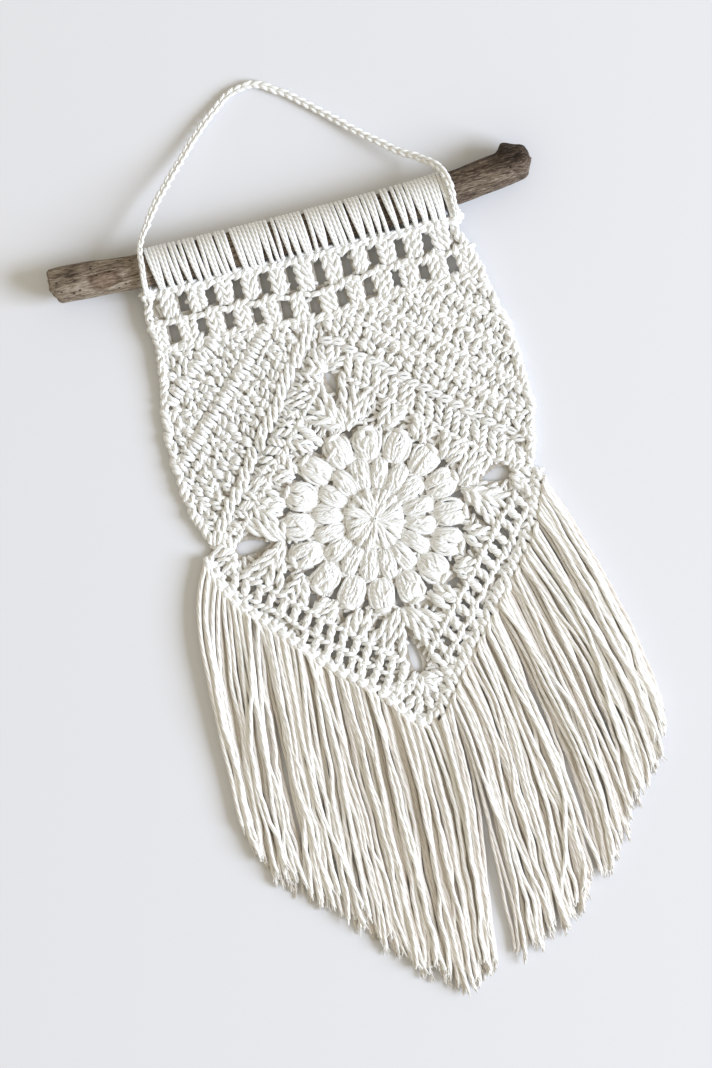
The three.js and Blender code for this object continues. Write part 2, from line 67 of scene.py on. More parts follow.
# Hanging cord
# A chain crocheted from the same soft cotton yarn as the cloth. It starts in one top corner of the
# cloth, passes in front of the stick, lies in a slack loop above it and ends in the other corner.
YARN = 2.2
CORD_YARN = 2
CORD_WIDE = 4.6
CORD_STITCH = 5.0
CORE_LOW = 0.3  # how far the strand inside the chain lies below its middle
CLEAR = 0.15  # how far all yarn stays off the floor
CORD_ROUTE = [
    (-91.6, 151.6, 5.4),
    (-91.4, 149.7, 12.3),
    (-91, 151.9, 19.8),
    (-90.2, 158, 24.4),
    (-89.4, 165.8, 24.8),
    (-88.9, 172, 21.6),
    (-86.8, 178.2, 18),
    (-82.1, 185.8, 15),
    (-72.6, 198.6, 12),
    (-64, 208.2, 9),
    (-53, 219.4, 6),
    (-38, 233.8, 3.8),
    (-26, 243.2, 2.4),
    (-17.5, 247.5, 2.1),
    (-8, 248.2, 2.1),
    (2, 243.8, 2.1),
    (14, 234.8, 2.3),
    (30, 220.4, 3.4),
    (46, 205.6, 5.6),
    (60, 194, 8.6),
    (71, 186, 12.8),
    (78.4, 180, 18),
    (82, 174.4, 22.4),
    (83.4, 167, 25.3),
    (83.7, 160, 24.5),
    (83.7, 153.9, 20),
    (83.6, 151.6, 12.6),
    (83.4, 153.8, 5),
]
# One leg of a chain stitch's V: shares of its length and its width, and its height in yarns
CHAIN_LEG = [(-0.25, 0.02, -0.8), (0.15, 0.2, 0.2), (0.6, 0.42, 0.4), (0.98, 0.48, 0.05), (1.22, 0.34, -0.9)]
# How wide the cord is along its length: drawn thin where it is pulled over the stick
CORD_SLIM = [(0, 0.74), (0.13, 0.78), (0.2, 1), (0.88, 1), (0.94, 0.84), (1, 0.76)]
# How far the chain is rolled about its length: half a turn shows its front
CORD_ROLL = [(0, 3.1), (0.3, 2.9), (0.5, 3.3), (0.65, 3.8), (0.8, 3.5), (0.88, 3.1), (1, 3.1)]

draw = np.random.default_rng(11)


def shade():
    """How light one length of yarn is, from 0 to 1."""
    return draw.uniform(0.35, 1)


def smooth(points, steps):
    """A curve through the points, with that many steps between each two."""
    points = np.array(points, float)
    ends = np.vstack([2 * points[0] - points[1], points, 2 * points[-1] - points[-2]])
    t = np.linspace(0, 1, steps, endpoint=False)[:, None]
    runs = []
    for a, b, c, d in zip(ends, ends[1:], ends[2:], ends[3:]):
        bend = (2 * a - 5 * b + 4 * c - d) * t**2 + (3 * b - a - 3 * c + d) * t**3
        runs.append(b + 0.5 * ((c - a) * t + bend))
    return np.vstack([*runs, points[-1:]])


def reach_along(line):
    """How far along a line each of its points is."""
    return np.append(0, np.cumsum(np.linalg.norm(np.diff(line, axis=0), axis=1)))


def spaced(line, gap):
    """Points along a line, evenly spread and about that far apart."""
    line = np.array(line, float)
    reach = reach_along(line)
    at = np.linspace(0, reach[-1], max(1, round(reach[-1] / gap)) + 1)
    return np.column_stack([np.interp(at, reach, column) for column in line.T])


def chain(line, stitch, wide, thick=YARN, roll=0.0, uneven=0.0):
    """The stitches of a chain along a line: each is a V of two strands that comes out of the last."""
    knots = spaced(line, stitch)
    knots[1:-1] += draw.normal(0, uneven, knots[1:-1].shape) * (1, 1, 0.5)
    aside = np.cross((0, 0, 1), knots[1] - knots[0])
    strands = []
    widths, rolls = np.broadcast_arrays(wide, roll, np.zeros(len(knots) - 1))[:2]
    for here, there, wide, roll in zip(knots, knots[1:], widths, rolls):
        ahead = there - here
        way = ahead / np.linalg.norm(ahead)
        aside = aside - way * aside.dot(way)
        aside /= np.linalg.norm(aside)
        up = np.cross(way, aside)
        turned = aside * math.cos(roll) + up * math.sin(roll)
        raised = np.cross(way, turned)
        slant = draw.normal(0, 0.3 * uneven)
        run = ahead * math.cos(slant) + turned * np.linalg.norm(ahead) * math.sin(slant)
        for hand in (-1, 1):
            leg = [
                here + run * far + turned * hand * out * (wide - thick) + raised * high * thick
                for far, out, high in CHAIN_LEG
            ]
            strands.append((np.array(leg), thick * draw.uniform(0.9, 1.08), shade()))
    return strands


def wire(tree, kind, settings=(), **inputs):
    """A new node with its settings, and with values or other nodes' outputs on its inputs."""
    node = tree.nodes.new(kind)
    for name, value in dict(settings).items():
        setattr(node, name, value)
    for name, value in inputs.items():
        socket = node.inputs[int(name[1:])] if name[0] == "_" else node.inputs[name.replace("_", " ")]
        if isinstance(value, bpy.types.NodeSocket):
            tree.links.new(value, socket)
        else:
            socket.default_value = value
    return node


def yarn_tree():
    """Geometry nodes that sweep a round yarn along each path of a wire mesh."""
    tree = bpy.data.node_groups.new("yarn_along_paths", "GeometryNodeTree")
    asked = {"Paths": "Geometry", "Step": "Float", "Sides": "Int", "Cotton": "Material"}
    for name, kind in asked.items():
        tree.interface.new_socket(name, in_out="INPUT", socket_type="NodeSocket" + kind)
    tree.interface.new_socket("Yarn", in_out="OUTPUT", socket_type="NodeSocketGeometry")

    def node(kind, settings=(), **inputs):
        return wire(tree, "GeometryNode" + kind, settings, **inputs).outputs

    def labelled(shape, label, kind, value):
        """A shape whose points keep a value for the cotton to read."""
        settings = {"data_type": kind, "domain": "POINT"}
        return node("StoreNamedAttribute", settings, Geometry=shape, Name=label, Value=value)[0]

    given = wire(tree, "NodeGroupInput").outputs
    lines = node("MeshToCurve", Mesh=given["Paths"])[0]
    bent = node("CurveSplineType", {"spline_type": "CATMULL_ROM"}, Curve=lines)[0]
    even = node("ResampleCurve", {"mode": "LENGTH"}, Curve=bent, Length=given["Step"])[0]
    path = labelled(even, "along", "FLOAT", node("SplineParameter")["Length"])
    ring = node("CurvePrimitiveCircle", {"mode": "RADIUS"}, Resolution=given["Sides"], Radius=1.0)[0]
    section = labelled(ring, "around", "FLOAT_VECTOR", node("InputPosition")[0])
    half = node("InputNamedAttribute", {"data_type": "FLOAT"}, Name="half")[0]
    swept = node("CurveToMesh", Curve=path, Profile_Curve=section, Scale=half, Fill_Caps=True)[0]
    soft = node("SetShadeSmooth", Geometry=swept)[0]
    real = node("RealizeInstances", Geometry=soft)[0]
    dyed = node("SetMaterial", Geometry=real, Material=given["Cotton"])[0]
    wire(tree, "NodeGroupOutput", Yarn=dyed)
    return tree


def spin(name, strands, cotton, step=1.3, sides=6):
    """One piece of yarn work: each strand is its points, its thickness and how light it is."""
    counts = [len(points) for points, _, _ in strands]
    places = np.vstack([points for points, _, _ in strands]) * MM
    last = set(np.cumsum(counts) - 1)
    edges = [(i, i + 1) for i in range(len(places) - 1) if i not in last]
    half = np.concatenate([np.broadcast_to(thick, n) for n, (_, thick, _) in zip(counts, strands)]) * MM / 2
    light = np.concatenate([np.full(n, tone_and_shade) for n, (_, _, tone_and_shade) in zip(counts, strands)])
    places[:, 2] = np.maximum(places[:, 2], half + CLEAR * MM)
    wires = bpy.data.meshes.new(name + "_paths")
    wires.from_pydata(places, edges, [])
    for label, values in (("half", half), ("light", light)):
        wires.attributes.new(label, "FLOAT", "POINT").data.foreach_set("value", values.astype(np.float32))
    piece = put(name, wires)
    sweep = piece.modifiers.new("yarn", "NODES")
    sweep.node_group = YARN_TREE
    values = {"Step": step * MM, "Sides": sides, "Cotton": cotton}
    for socket in YARN_TREE.interface.items_tree:
        if socket.name in values:
            sweep[socket.identifier] = values[socket.name]
    ready = bpy.context.evaluated_depsgraph_get()
    swept = piece.evaluated_get(ready)
    yarn = bpy.data.meshes.new_from_object(swept, preserve_all_data_layers=True, depsgraph=ready)
    piece.modifiers.remove(sweep)
    piece.data = yarn
    yarn.name = name
    bpy.data.meshes.remove(wires)
    return piece


def maths(tree, operation, *values):
    inputs = {f"_{i}": value for i, value in enumerate(values)}
    return wire(tree, "ShaderNodeMath", {"operation": operation}, **inputs).outputs[0]


def ply_twist():
    """Shader nodes: the plies of a yarn winding about it, and the fine fibres that run with them."""
    group = bpy.data.node_groups.new("ply_twist", "ShaderNodeTree")
    for way, names in (("INPUT", ("Lay", "Plies")), ("OUTPUT", ("Height", "Fibre"))):
        for name in names:
            group.interface.new_socket(name, in_out=way, socket_type="NodeSocketFloat")
    given = wire(group, "NodeGroupInput").outputs
    along = wire(group, "ShaderNodeAttribute", {"attribute_name": "along"}).outputs["Fac"]
    around = wire(group, "ShaderNodeAttribute", {"attribute_name": "around"}).outputs["Vector"]
    flat = wire(group, "ShaderNodeSeparateXYZ", Vector=around).outputs
    angle = maths(group, "ARCTAN2", flat["Y"], flat["X"])
    turn = maths(group, "MULTIPLY", maths(group, "DIVIDE", along, given["Lay"]), 2 * math.pi)
    wave = maths(group, "COSINE", maths(group, "MULTIPLY", maths(group, "ADD", angle, turn), given["Plies"]))
    height = maths(group, "POWER", maths(group, "MULTIPLY_ADD", wave, 0.5, 0.5), 0.5)
    about = {"rotation_type": "Z_AXIS"}
    wound = wire(group, "ShaderNodeVectorRotate", about, Vector=around, Angle=turn).outputs[0]
    across = wire(group, "ShaderNodeSeparateXYZ", Vector=wound).outputs
    fine = {axis: maths(group, "MULTIPLY", across[axis], FIBRES_ROUND) for axis in "XY"}
    fine["Z"] = maths(group, "MULTIPLY", along, FIBRES_ALONG)
    fibre_at = wire(group, "ShaderNodeCombineXYZ", **fine).outputs[0]
    fibre = wire(group, "ShaderNodeTexNoise", Vector=fibre_at, Scale=1.0, Detail=3.0, Roughness=0.65)
    wire(group, "NodeGroupOutput", Height=height, Fibre=fibre.outputs["Fac"])
    return group


def material(name, **settings):
    """A new material, its tree, and its shader with the settings that are the same all over."""
    made = bpy.data.materials.new(name)
    made.use_nodes = True
    shader = made.node_tree.nodes["Principled BSDF"]
    for setting, value in settings.items():
        shader.inputs[setting.replace("_", " ")].default_value = value
    return made, made.node_tree, shader


def ramp(tree, share, *stops):
    """The colour at a share of the way along some stops, each a position and a colour."""
    node = wire(tree, "ShaderNodeValToRGB", Fac=share)
    elements = node.color_ramp.elements
    for end, (position, colour) in zip(elements, (stops[0], stops[-1])):
        end.position, end.color = position, (*colour, 1)
    for position, colour in stops[1:-1]:
        elements.new(position).color = (*colour, 1)
    return node.outputs["Color"]


def dress(tree, shader, colour, relief, strength, deep):
    """The shader's colour, and a bump of that strength and depth."""
    bump = wire(tree, "ShaderNodeBump", Height=relief, Strength=strength, Distance=deep)
    tree.links.new(colour, shader.inputs["Base Color"])
    tree.links.new(bump.outputs["Normal"], shader.inputs["Normal"])


def cotton(name, lay, plies, deep, pale, tone_and_shade=0.3, groove_bump_and_shade=0.25):
    """Cotton yarn between two colours: each strand's tone and painted shade, and painted shade in the ply
    grooves.
    """
    soft = dict(Roughness=0.9, Specular_IOR_Level=0.25, Sheen_Weight=0.2, Sheen_Roughness=0.5)
    made, tree, shader = material(name, **soft)
    twist = wire(tree, "ShaderNodeGroup", {"node_tree": PLY_TWIST}, Lay=lay, Plies=plies).outputs
    light = wire(tree, "ShaderNodeAttribute", {"attribute_name": "light"}).outputs["Fac"]
    # Painted shade: the ply grooves pull the colour towards the deep one.
    body = maths(tree, "MULTIPLY_ADD", twist["Height"], groove_bump_and_shade, 0.6 - tone_and_shade - 0.6 * groove_bump_and_shade)
    speckled = maths(tree, "MULTIPLY_ADD", twist["Fibre"], 0.5, body)
    share = maths(tree, "MULTIPLY_ADD", light, tone_and_shade, speckled)
    colour = ramp(tree, share, (0.15, deep), (0.85, pale))
    relief = maths(tree, "MULTIPLY_ADD", twist["Fibre"], 0.5, twist["Height"])
    dress(tree, shader, colour, relief, 0.4 + groove_bump_and_shade / 2, 0.0005)
    return made


FIBRES_ROUND, FIBRES_ALONG = 4.0, 260.0  # how fine the fibres are across a yarn, and along it
YARN_TREE = yarn_tree()
PLY_TWIST = ply_twist()
# The deep colour is painted shade, for the ply grooves and for the strands drawn darker.
COTTON_DEEP = (0.86, 0.83, 0.77)
COTTON_PALE = (0.955, 0.947, 0.92)
stitch_cotton = cotton("stitch_cotton", 0.013, 5, COTTON_DEEP, COTTON_PALE)

cord_line = smooth(CORD_ROUTE, 8)
cord_core = spaced(cord_line, 3) - (0, 0, CORE_LOW)
cord_shares = np.linspace(0, 1, len(spaced(cord_line, CORD_STITCH)) - 1)
cord_widths = CORD_WIDE * np.interp(cord_shares, *zip(*CORD_SLIM))
cord_rolls = np.interp(cord_shares, *zip(*CORD_ROLL))
cord_strands = chain(cord_line, CORD_STITCH, cord_widths, CORD_YARN, cord_rolls, uneven=0.1)
cord_strands.append((cord_core, YARN, shade()))
cord = spin("hanging_cord_yarn", cord_strands, stitch_cotton, step=1.1)
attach(cord, "root")
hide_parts("hanging_cord")

# Driftwood stick
# A weathered branch, bleached grey on its high grain and brown in its cracks, cut off at the left end
# and broken at a side branch on the right. The lashing holds it a yarn off the floor.
# Stations along it: x, y of its middle, half its height and half its depth, and how lumpy it is
STICK = [
    (-146, 165.9, 9.3, 8.8, 0.05),
    (-133, 165.3, 9.9, 9.2, 0.05),
    (-118, 164.6, 9.9, 9.6, 0.04),
    (-104, 163.3, 9.5, 9.6, 0.05),
    (-88, 162.6, 9.5, 9.5, 0.03),
    (-40, 162, 9.4, 9.4, 0.02),
    (10, 162, 9.4, 9.4, 0.02),
    (60, 163, 9.4, 9.4, 0.03),
    (84, 164.8, 9.5, 9.5, 0.04),
    (100, 166.6, 9.6, 9.6, 0.05),
    (114, 168.4, 9.4, 9.8, 0.05),
    (126, 170.2, 8.9, 9.4, 0.05),
    (136, 170.8, 8.4, 9, 0.04),
]
STICK_BOTTOM = 2.5
STICK_LUMP_TURN = 0.6
STICK_WEAR = (1.2, 4.5)  # how far the cut and the broken end are rounded
STICK_RINGS = 240
STICK_ROUND = 72
STICK_ENDS = (-142, 131)
# The foremost points of the cut and of the break
CUT = dict(x=-142.9, y=163.7, z=14)
BREAK = dict(x=132.6, y=170, z=12)
CAP_RING, CAP_RING_OUT, CAP_OUT = 0.55, 0.4, 0.5  # a ring between an end's rim and its middle
# The stump of the side branch: where it is, how far it reaches to the left and right, and how high
STUMP = dict(x=116.6, left=2.4, right=6.4, angle=0.1, spread=0.6, high=4.2)
CRACK_DEEP = 0.8
# A brown knot in metres: its place, and how fast it fades along and across the stick
KNOT = (-0.1115, 0.1618, 0.0215)
KNOT_FADES = (125, 250, 60)
WOOD = [
    (0.2, (0.02, 0.013, 0.008)),
    (0.4, (0.1, 0.07, 0.05)),
    (0.56, (0.26, 0.205, 0.15)),
    (0.86, (0.56, 0.495, 0.4)),
]

stick_line = smooth(STICK, 8)


def stick_at(x):
    """Middle y, middle z, half height, half depth and lumpiness of the stick at x."""
    y, high, deep, lump = (np.interp(x, stick_line[:, 0], column) for column in stick_line.T[1:])
    return y, STICK_BOTTOM + deep * (1 + lump), high, deep, lump


def stick_ends(y, z):
    """Where the stick begins and ends at that place in its cross-section."""
    over, under = max(0, y - CUT["y"]), max(0, CUT["y"] - y)
    left = CUT["x"] + 0.12 * over + 0.55 * under + 0.12 * abs(z - CUT["z"])
    over, under = max(0, y - BREAK["y"]), max(0, BREAK["y"] - y)
    right = BREAK["x"] - 0.3 * over - 0.5 * under - 0.02 * (z - BREAK["z"]) ** 2
    return left + 0.5 * noise.noise((y / 3, z / 3, 1)), right + 0.9 * noise.noise((y / 3, z / 3, 2))


def stick_span(angle):
    """Where the stick begins and ends at an angle about it."""
    span = []
    for end, x in enumerate(STICK_ENDS):
        y, z, high, deep, _ = stick_at(x)
        span.append(stick_ends(y + math.cos(angle) * high, z + math.sin(angle) * deep)[end])
    return span


def stick_skin(x, angle):
    """How far the bark stands out from the plain branch."""
    across, up = math.cos(angle), math.sin(angle)
    swell = 0.5 * noise.noise((x / 26, 1.4 * across, 1.4 * up + 5))
    grain = 0.34 * noise.noise((x / 38, 8 * across, 8 * up))
    grain += 0.16 * noise.noise((x / 9, 19 * across, 19 * up))
    split = 1 - abs(noise.noise((x / 70 + 3, 3.1 * across, 3.1 * up)))
    crack = CRACK_DEEP * max(0, (split - 0.93) / 0.07) ** 2
    lean = (angle + math.pi - STUMP["angle"]) % (2 * math.pi) - math.pi
    off = x - STUMP["x"]
    reach = STUMP["left"] if off < 0 else STUMP["right"]
    stump = STUMP["high"] * math.exp(-((off / reach) ** 2) - (lean / STUMP["spread"]) ** 2)
    return swell + grain - crack + stump


def stick_mesh():
    places, faces = [], []
    angles = [2 * math.pi * k / STICK_ROUND for k in range(STICK_ROUND)]
    spans = [stick_span(angle) for angle in angles]
    for share in np.linspace(0, 1, STICK_RINGS):
        for angle, span in zip(angles, spans):
            across, up = math.cos(angle), math.sin(angle)
            x = span[0] + share * (span[1] - span[0])
            y, z, high, deep, lump = stick_at(x)
            lobed = 1 + lump * math.cos(3 * angle + STICK_LUMP_TURN)
            proud = stick_skin(x, angle) - max(
                wear * (1 - math.sqrt(1 - max(0, 1 - abs(x - end) / wear) ** 2))
                for end, wear in zip(span, STICK_WEAR)
            )
            places.append((x, y + across * (high * lobed + proud), z + up * (deep * lobed + proud)))
    for i in range(STICK_RINGS - 1):
        for k in range(STICK_ROUND):
            a, b = i * STICK_ROUND + k, i * STICK_ROUND + (k + 1) % STICK_ROUND
            faces.append((a, b, b + STICK_ROUND, a + STICK_ROUND))
    for first, order in ((0, -1), ((STICK_RINGS - 1) * STICK_ROUND, 1)):
        rim = np.arange(first, first + STICK_ROUND)
        middle = np.mean([places[i] for i in rim], axis=0)
        inner = []
        for i in rim:
            inner.append(len(places))
            out = (order * CAP_RING_OUT, 0, 0)
            places.append(tuple(middle + (np.array(places[i]) - middle) * CAP_RING + out))
        centre = len(places)
        places.append(tuple(middle + (order * CAP_OUT, 0, 0)))
        for k in range(STICK_ROUND):
            n = (k + 1) % STICK_ROUND
            faces.append((rim[k], rim[n], inner[n], inner[k])[::order])
            faces.append((inner[k], inner[n], centre)[::order])
    mesh = bpy.data.meshes.new("driftwood")
    mesh.from_pydata(np.array(places) * MM, [], faces)
    mesh.shade_smooth()
    mesh.set_sharp_from_angle(angle=math.radians(38))
    return mesh


def ranged(tree, value, low, high, first, last):
    """A value from low to high, laid out from first to last."""
    limits = {"_1": low, "_2": high, "_3": first, "_4": last}
    return wire(tree, "ShaderNodeMapRange", Value=value, **limits).outputs[0]


def streaky(tree, place, scale, **look):
    """Noise drawn out along the stick."""
    at = wire(tree, "ShaderNodeMapping", Vector=place, Scale=scale).outputs[0]
    return wire(tree, "ShaderNodeTexNoise", Vector=at, Scale=1.0, **look).outputs["Fac"]


def stained(tree, share, under, stain, blend="MULTIPLY"):
    """A colour under a stain that has its share of it."""
    settings = {"data_type": "RGBA", "blend_type": blend}
    return wire(tree, "ShaderNodeMix", settings, _0=share, _6=under, _7=(*stain, 1)).outputs[2]


def driftwood():
    """Weathered wood: streaks along the grain, a brown knot, worm holes, and painted shade under the lashing
    and on the upper side.
    """
    made, tree, shader = material("driftwood", Roughness=0.85, Specular_IOR_Level=0.25)
    place = wire(tree, "ShaderNodeTexCoord").outputs["Object"]
    streaks = streaky(tree, place, (26, 300, 300), Detail=5.0, Roughness=0.65, Distortion=0.8)
    fine = streaky(tree, place, (240, 1300, 1300), Detail=4.0, Roughness=0.7)
    patches = wire(tree, "ShaderNodeTexNoise", Vector=place, Scale=38.0, Detail=3.0).outputs["Fac"]
    sides = wire(tree, "ShaderNodeSeparateXYZ", Vector=place).outputs
    aged = ranged(tree, sides["X"], -0.12, 0.11, 0.075, -0.05)
    # Painted shade: the wood under the lashing is drawn darker.
    from_middle = maths(tree, "ABSOLUTE", maths(tree, "ADD", sides["X"], 0.0025))
    shade_under_lashing = maths(tree, "LESS_THAN", from_middle, 0.085)
    # Painted shade: the upper side of the stick, away from the window, is drawn darker.
    upper = ranged(tree, sides["Y"], 0.166, 0.178, 0, -0.12)
    tone = maths(tree, "MULTIPLY_ADD", streaks, 0.62, maths(tree, "MULTIPLY_ADD", shade_under_lashing, -0.07, aged))
    tone = maths(tree, "MULTIPLY_ADD", fine, 0.95, maths(tree, "ADD", tone, upper))
    tone = maths(tree, "MULTIPLY_ADD", patches, 0.5, tone)
    wood = ramp(tree, maths(tree, "SUBTRACT", tone, 0.535), *WOOD)
    off = wire(tree, "ShaderNodeVectorMath", {"operation": "SUBTRACT"}, _0=place, _1=KNOT).outputs[0]
    oval = wire(tree, "ShaderNodeVectorMath", {"operation": "MULTIPLY"}, _0=off, _1=KNOT_FADES).outputs[0]
    far = wire(tree, "ShaderNodeVectorMath", {"operation": "LENGTH"}, _0=oval).outputs["Value"]
    ragged = maths(tree, "MULTIPLY_ADD", streaks, 1.5, far)
    knot = ranged(tree, ragged, 1.3, 2, 0.9, 0)
    rim = maths(tree, "ABSOLUTE", maths(tree, "SUBTRACT", ragged, 1.75))
    ring = ranged(tree, rim, 0.05, 0.4, 0.75, 0)
    holes_at = wire(tree, "ShaderNodeMapping", Vector=place, Scale=(190, 260, 260)).outputs[0]
    holes = wire(tree, "ShaderNodeTexVoronoi", Vector=holes_at, Scale=1.0).outputs["Distance"]
    hole = ranged(tree, holes, 0.1, 0.17, 0.85, 0)
    wood = stained(tree, knot, wood, (0.68, 0.57, 0.53))
    wood = stained(tree, ring, wood, (0.42, 0.33, 0.27))
    wood = stained(tree, hole, wood, (0.03, 0.018, 0.012), "MIX")
    relief = maths(tree, "MULTIPLY_ADD", fine, 0.6, maths(tree, "SUBTRACT", streaks, hole))
    dress(tree, shader, wood, relief, 0.8, 0.001)
    return made


stick = put("driftwood_branch", stick_mesh())
stick.data.materials.append(driftwood())
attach(stick, "root")
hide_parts("driftwood_stick")

# Lashing
# One long end of yarn wound round the stick and through the chain at the cloth's top edge, turn beside
# turn. The turns slant a little, bunch up in groups, and leave the wood bare in between.
WRAP_FROM, WRAP_TO = -86, 81
WRAP_PITCH = 2.1
WRAP_YARN = 2.25
# Where the wood shows between two turns, and how wide
WRAP_GAPS = [
    (-74, 0.7), (-70, 1.2), (-66, 0.6), (-60, 1.4), (-50, 1), (-41.5, 2.2), (-19, 1.8), (-14, 0.6),
    (1, 1.8), (20, 0.6), (25, 1.2), (33, 0.6), (43.5, 2), (49, 1.5), (54, 0.8), (58, 0.6),
]
WRAP_SLANT = 2.4  # how far a turn's foot lies to the right of its top
WRAP_UPRIGHT = 12  # how much of the right end it takes the turns to come upright
WRAP_CLEAR = 0.2
WRAP_FOOT = (150.4, 3.2)
WRAP_HEEL = (150.8, 1.6)
EDGE_STITCH = 5.1
EDGE_DRAW = 0.6  # how far the feet of the turns are drawn to the stitches of the chain
LASHING_DEEP = (0.77, 0.75, 0.715)
CLOTH_TOP = 150
LIFT = 4.4  # how far the lashing lifts the cloth's top edge off the floor
LIFT_FROM = 88
BULGE = 1.4  # how far the backs of the bobbles hold the middle of the cloth off the floor
BULGE_FROM, BULGE_TO = 88, 58  # how far out the bulge begins, and where it is whole


def lift_at(x, y):
    """How far the cloth is lifted off the floor at a place."""
    top = np.clip((y - LIFT_FROM) / (CLOTH_TOP - LIFT_FROM), 0, 1)
    middle = np.clip((np.hypot(x, y) - BULGE_FROM) / (BULGE_TO - BULGE_FROM), 0, 1)
    return LIFT * top**1.2 + BULGE * middle**2 * (3 - 2 * middle)


def lifted(strands):
    """Strands of the cloth, where it is lifted."""
    raised = []
    for points, thick, light in strands:
        up = np.zeros(np.shape(points))
        up[:, 2] = lift_at(*np.array(points).T[:2])
        raised.append((points + up, thick, light))
    return raised


def lashing():
    tops, x = [], WRAP_FROM
    while x < WRAP_TO:
        tops.append(x)
        ahead = x + WRAP_PITCH * draw.uniform(0.92, 1.08)
        x = ahead + sum(wide for at, wide in WRAP_GAPS if x <= at < ahead)
    path = []
    for top in tops:
        slant = WRAP_SLANT * min(1, (WRAP_TO + 2 - top) / WRAP_UPRIGHT)
        stitch = round((top + slant) / EDGE_STITCH) * EDGE_STITCH
        drawn = EDGE_DRAW * (stitch - top - slant) + draw.normal(0, 0.4)
        foot = top + slant + drawn
        y, z, high, deep, _ = stick_at(top)
        path.append((foot, WRAP_FOOT[0], WRAP_FOOT[1] + LIFT))
        for angle in np.radians(np.arange(25, 310, 30)):
            off = WRAP_YARN / 2 + WRAP_CLEAR
            down = (1 + math.cos(min(angle, np.pi))) / 2
            x = top + slant * down + drawn * down**2
            path.append((x, y - (high + off) * math.cos(angle), z + (deep + off) * math.sin(angle)))
        path.append((foot + 0.4, WRAP_HEEL[0], WRAP_HEEL[1] + LIFT))
    return [(np.array(path), WRAP_YARN, 0.75)]


# Painted shade: the lashing's ply grooves are coloured deeper than those of the stitches.
lashing_cotton = cotton("lashing_cotton", 0.009, 3, LASHING_DEEP, COTTON_PALE, groove_bump_and_shade=0.6)
wrap = spin("lashing_yarn", lashing(), lashing_cotton, step=1.5, sides=8)
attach(wrap, "root")
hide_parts("yarn_wrap")

# Heading
# Two rows of clusters, three tall stitches each, with a gap between every two. A chain runs along the
# top edge, between the rows and down both sides of the cloth.
PLUMP = 3.1  # the yarn swells where it isn't pulled tight
CLOTH_LEVEL = 2.9  # the middle of the stitches above the floor
POST_POINTS = 11
# Outline of the cloth: y, and the x of its left and right edge
SIDES = [
    (149.9, -90.5, 82),
    (141, -95.5, 84.5),
    (130, -95, 88.5),
    (118, -94.5, 91.5),
    (100, -97, 95.5),
    (80, -100.5, 99),
    (60, -101.5, 100.5),
    (42, -100.5, 100.5),
    (25, -97.5, 97),
    (8, -91.5, 92),
]
# Rows of gaps: y, number, first x, pitch, height, width, width of the last, and in the middle of the row
# how far its top dips and how much taller its stitches are
HEADING_ROWS = [
    dict(y=141.8, gaps=10, first=-73, pitch=15.3, high=11.4, wide=5, last=8.5, dip=0, taller=4),
    dict(y=126.2, gaps=11, first=-82, pitch=15.7, high=10.2, wide=5, last=7.5, dip=4, taller=0),
]
DIP_REACH = 26
CLUSTER = dict(high=13.4, lower=1.2, head=3.2, foot=2.2)
CLUSTER_POST = dict(wide=5.2, turns=1.7, thick=2.7, level=3.2)
CLUSTER_TOP = [(-5.4, -0.7), (0, 1.1), (5.4, -0.7)]
# The chain along the top edge, and the double line of heads under the rows
TOP_EDGE = dict(y=149.3, left=-89, right=80.5)
LOW_EDGE = dict(y=116.6, left=-91, right=87, dip=3)
SIDE_STITCH = 7.4
SIDE_INSET = 2.6
SIDE_LAP = 0.22  # share of a stitch by which it laps over the next
# Where the cord is knotted into the two top corners, and how the strands of the knots lie
CORD_KNOTS = [(-91, 149.6), (83.2, 150.2)]
KNOT_ANGLES = np.radians((50, 110, 170, 230))
KNOT_HALF = 4
KNOT_POST = dict(wide=5.4, turns=0.8, thick=2.8, level=4)


def jitter(by):
    return draw.normal(0, by, 2)


def polar(angle, out):
    return np.array((math.cos(angle), math.sin(angle))) * out


def ways(angle):
    """The way that an angle points, and the way to its left."""
    return polar(angle, 1), polar(angle + math.pi / 2, 1)


def post(foot, head, wide=6.2, turns=1.5, thick=PLUMP, level=CLOTH_LEVEL, drawn=0.2, over=False):
    """The post of a tall stitch: two strands wound about each other, and one that may cross over them."""
    foot, head = np.array(foot) + jitter(0.6), np.array(head) + jitter(0.6)
    run = head - foot
    aside = np.array((-run[1], run[0])) / np.linalg.norm(run)
    share = np.linspace(0, 1, POST_POINTS)
    arch = np.sin(np.pi * share)
    slim = 1 - drawn * (1 - arch)
    girth = thick * draw.uniform(0.86, 1.1) * slim
    reach = (wide - thick) / 2 * slim
    start = draw.uniform(0, 2 * np.pi)
    turns *= draw.uniform(0.85, 1.15) * draw.choice((-1, 1))
    strands = []
    for half_turn in (0, np.pi):
        angle = start + half_turn + 2 * np.pi * turns * share
        flat = foot + np.outer(share, run) + np.outer(reach * np.cos(angle), aside)
        up = level + 0.7 * arch + 0.8 * reach * np.sin(angle) - 1.1 * (2 * share - 1) ** 4
        strands.append((np.column_stack([flat, up]), girth, shade()))
    if over:
        slant = np.linspace(-1, 1, 6)
        flat = foot + np.outer(0.5 + 0.26 * slant, run) + np.outer(0.4 * wide * slant, aside)
        up = level + 1.9 - 2.6 * slant**2
        strands.append((np.column_stack([flat, up]), thick * 0.9, shade()))
    return strands


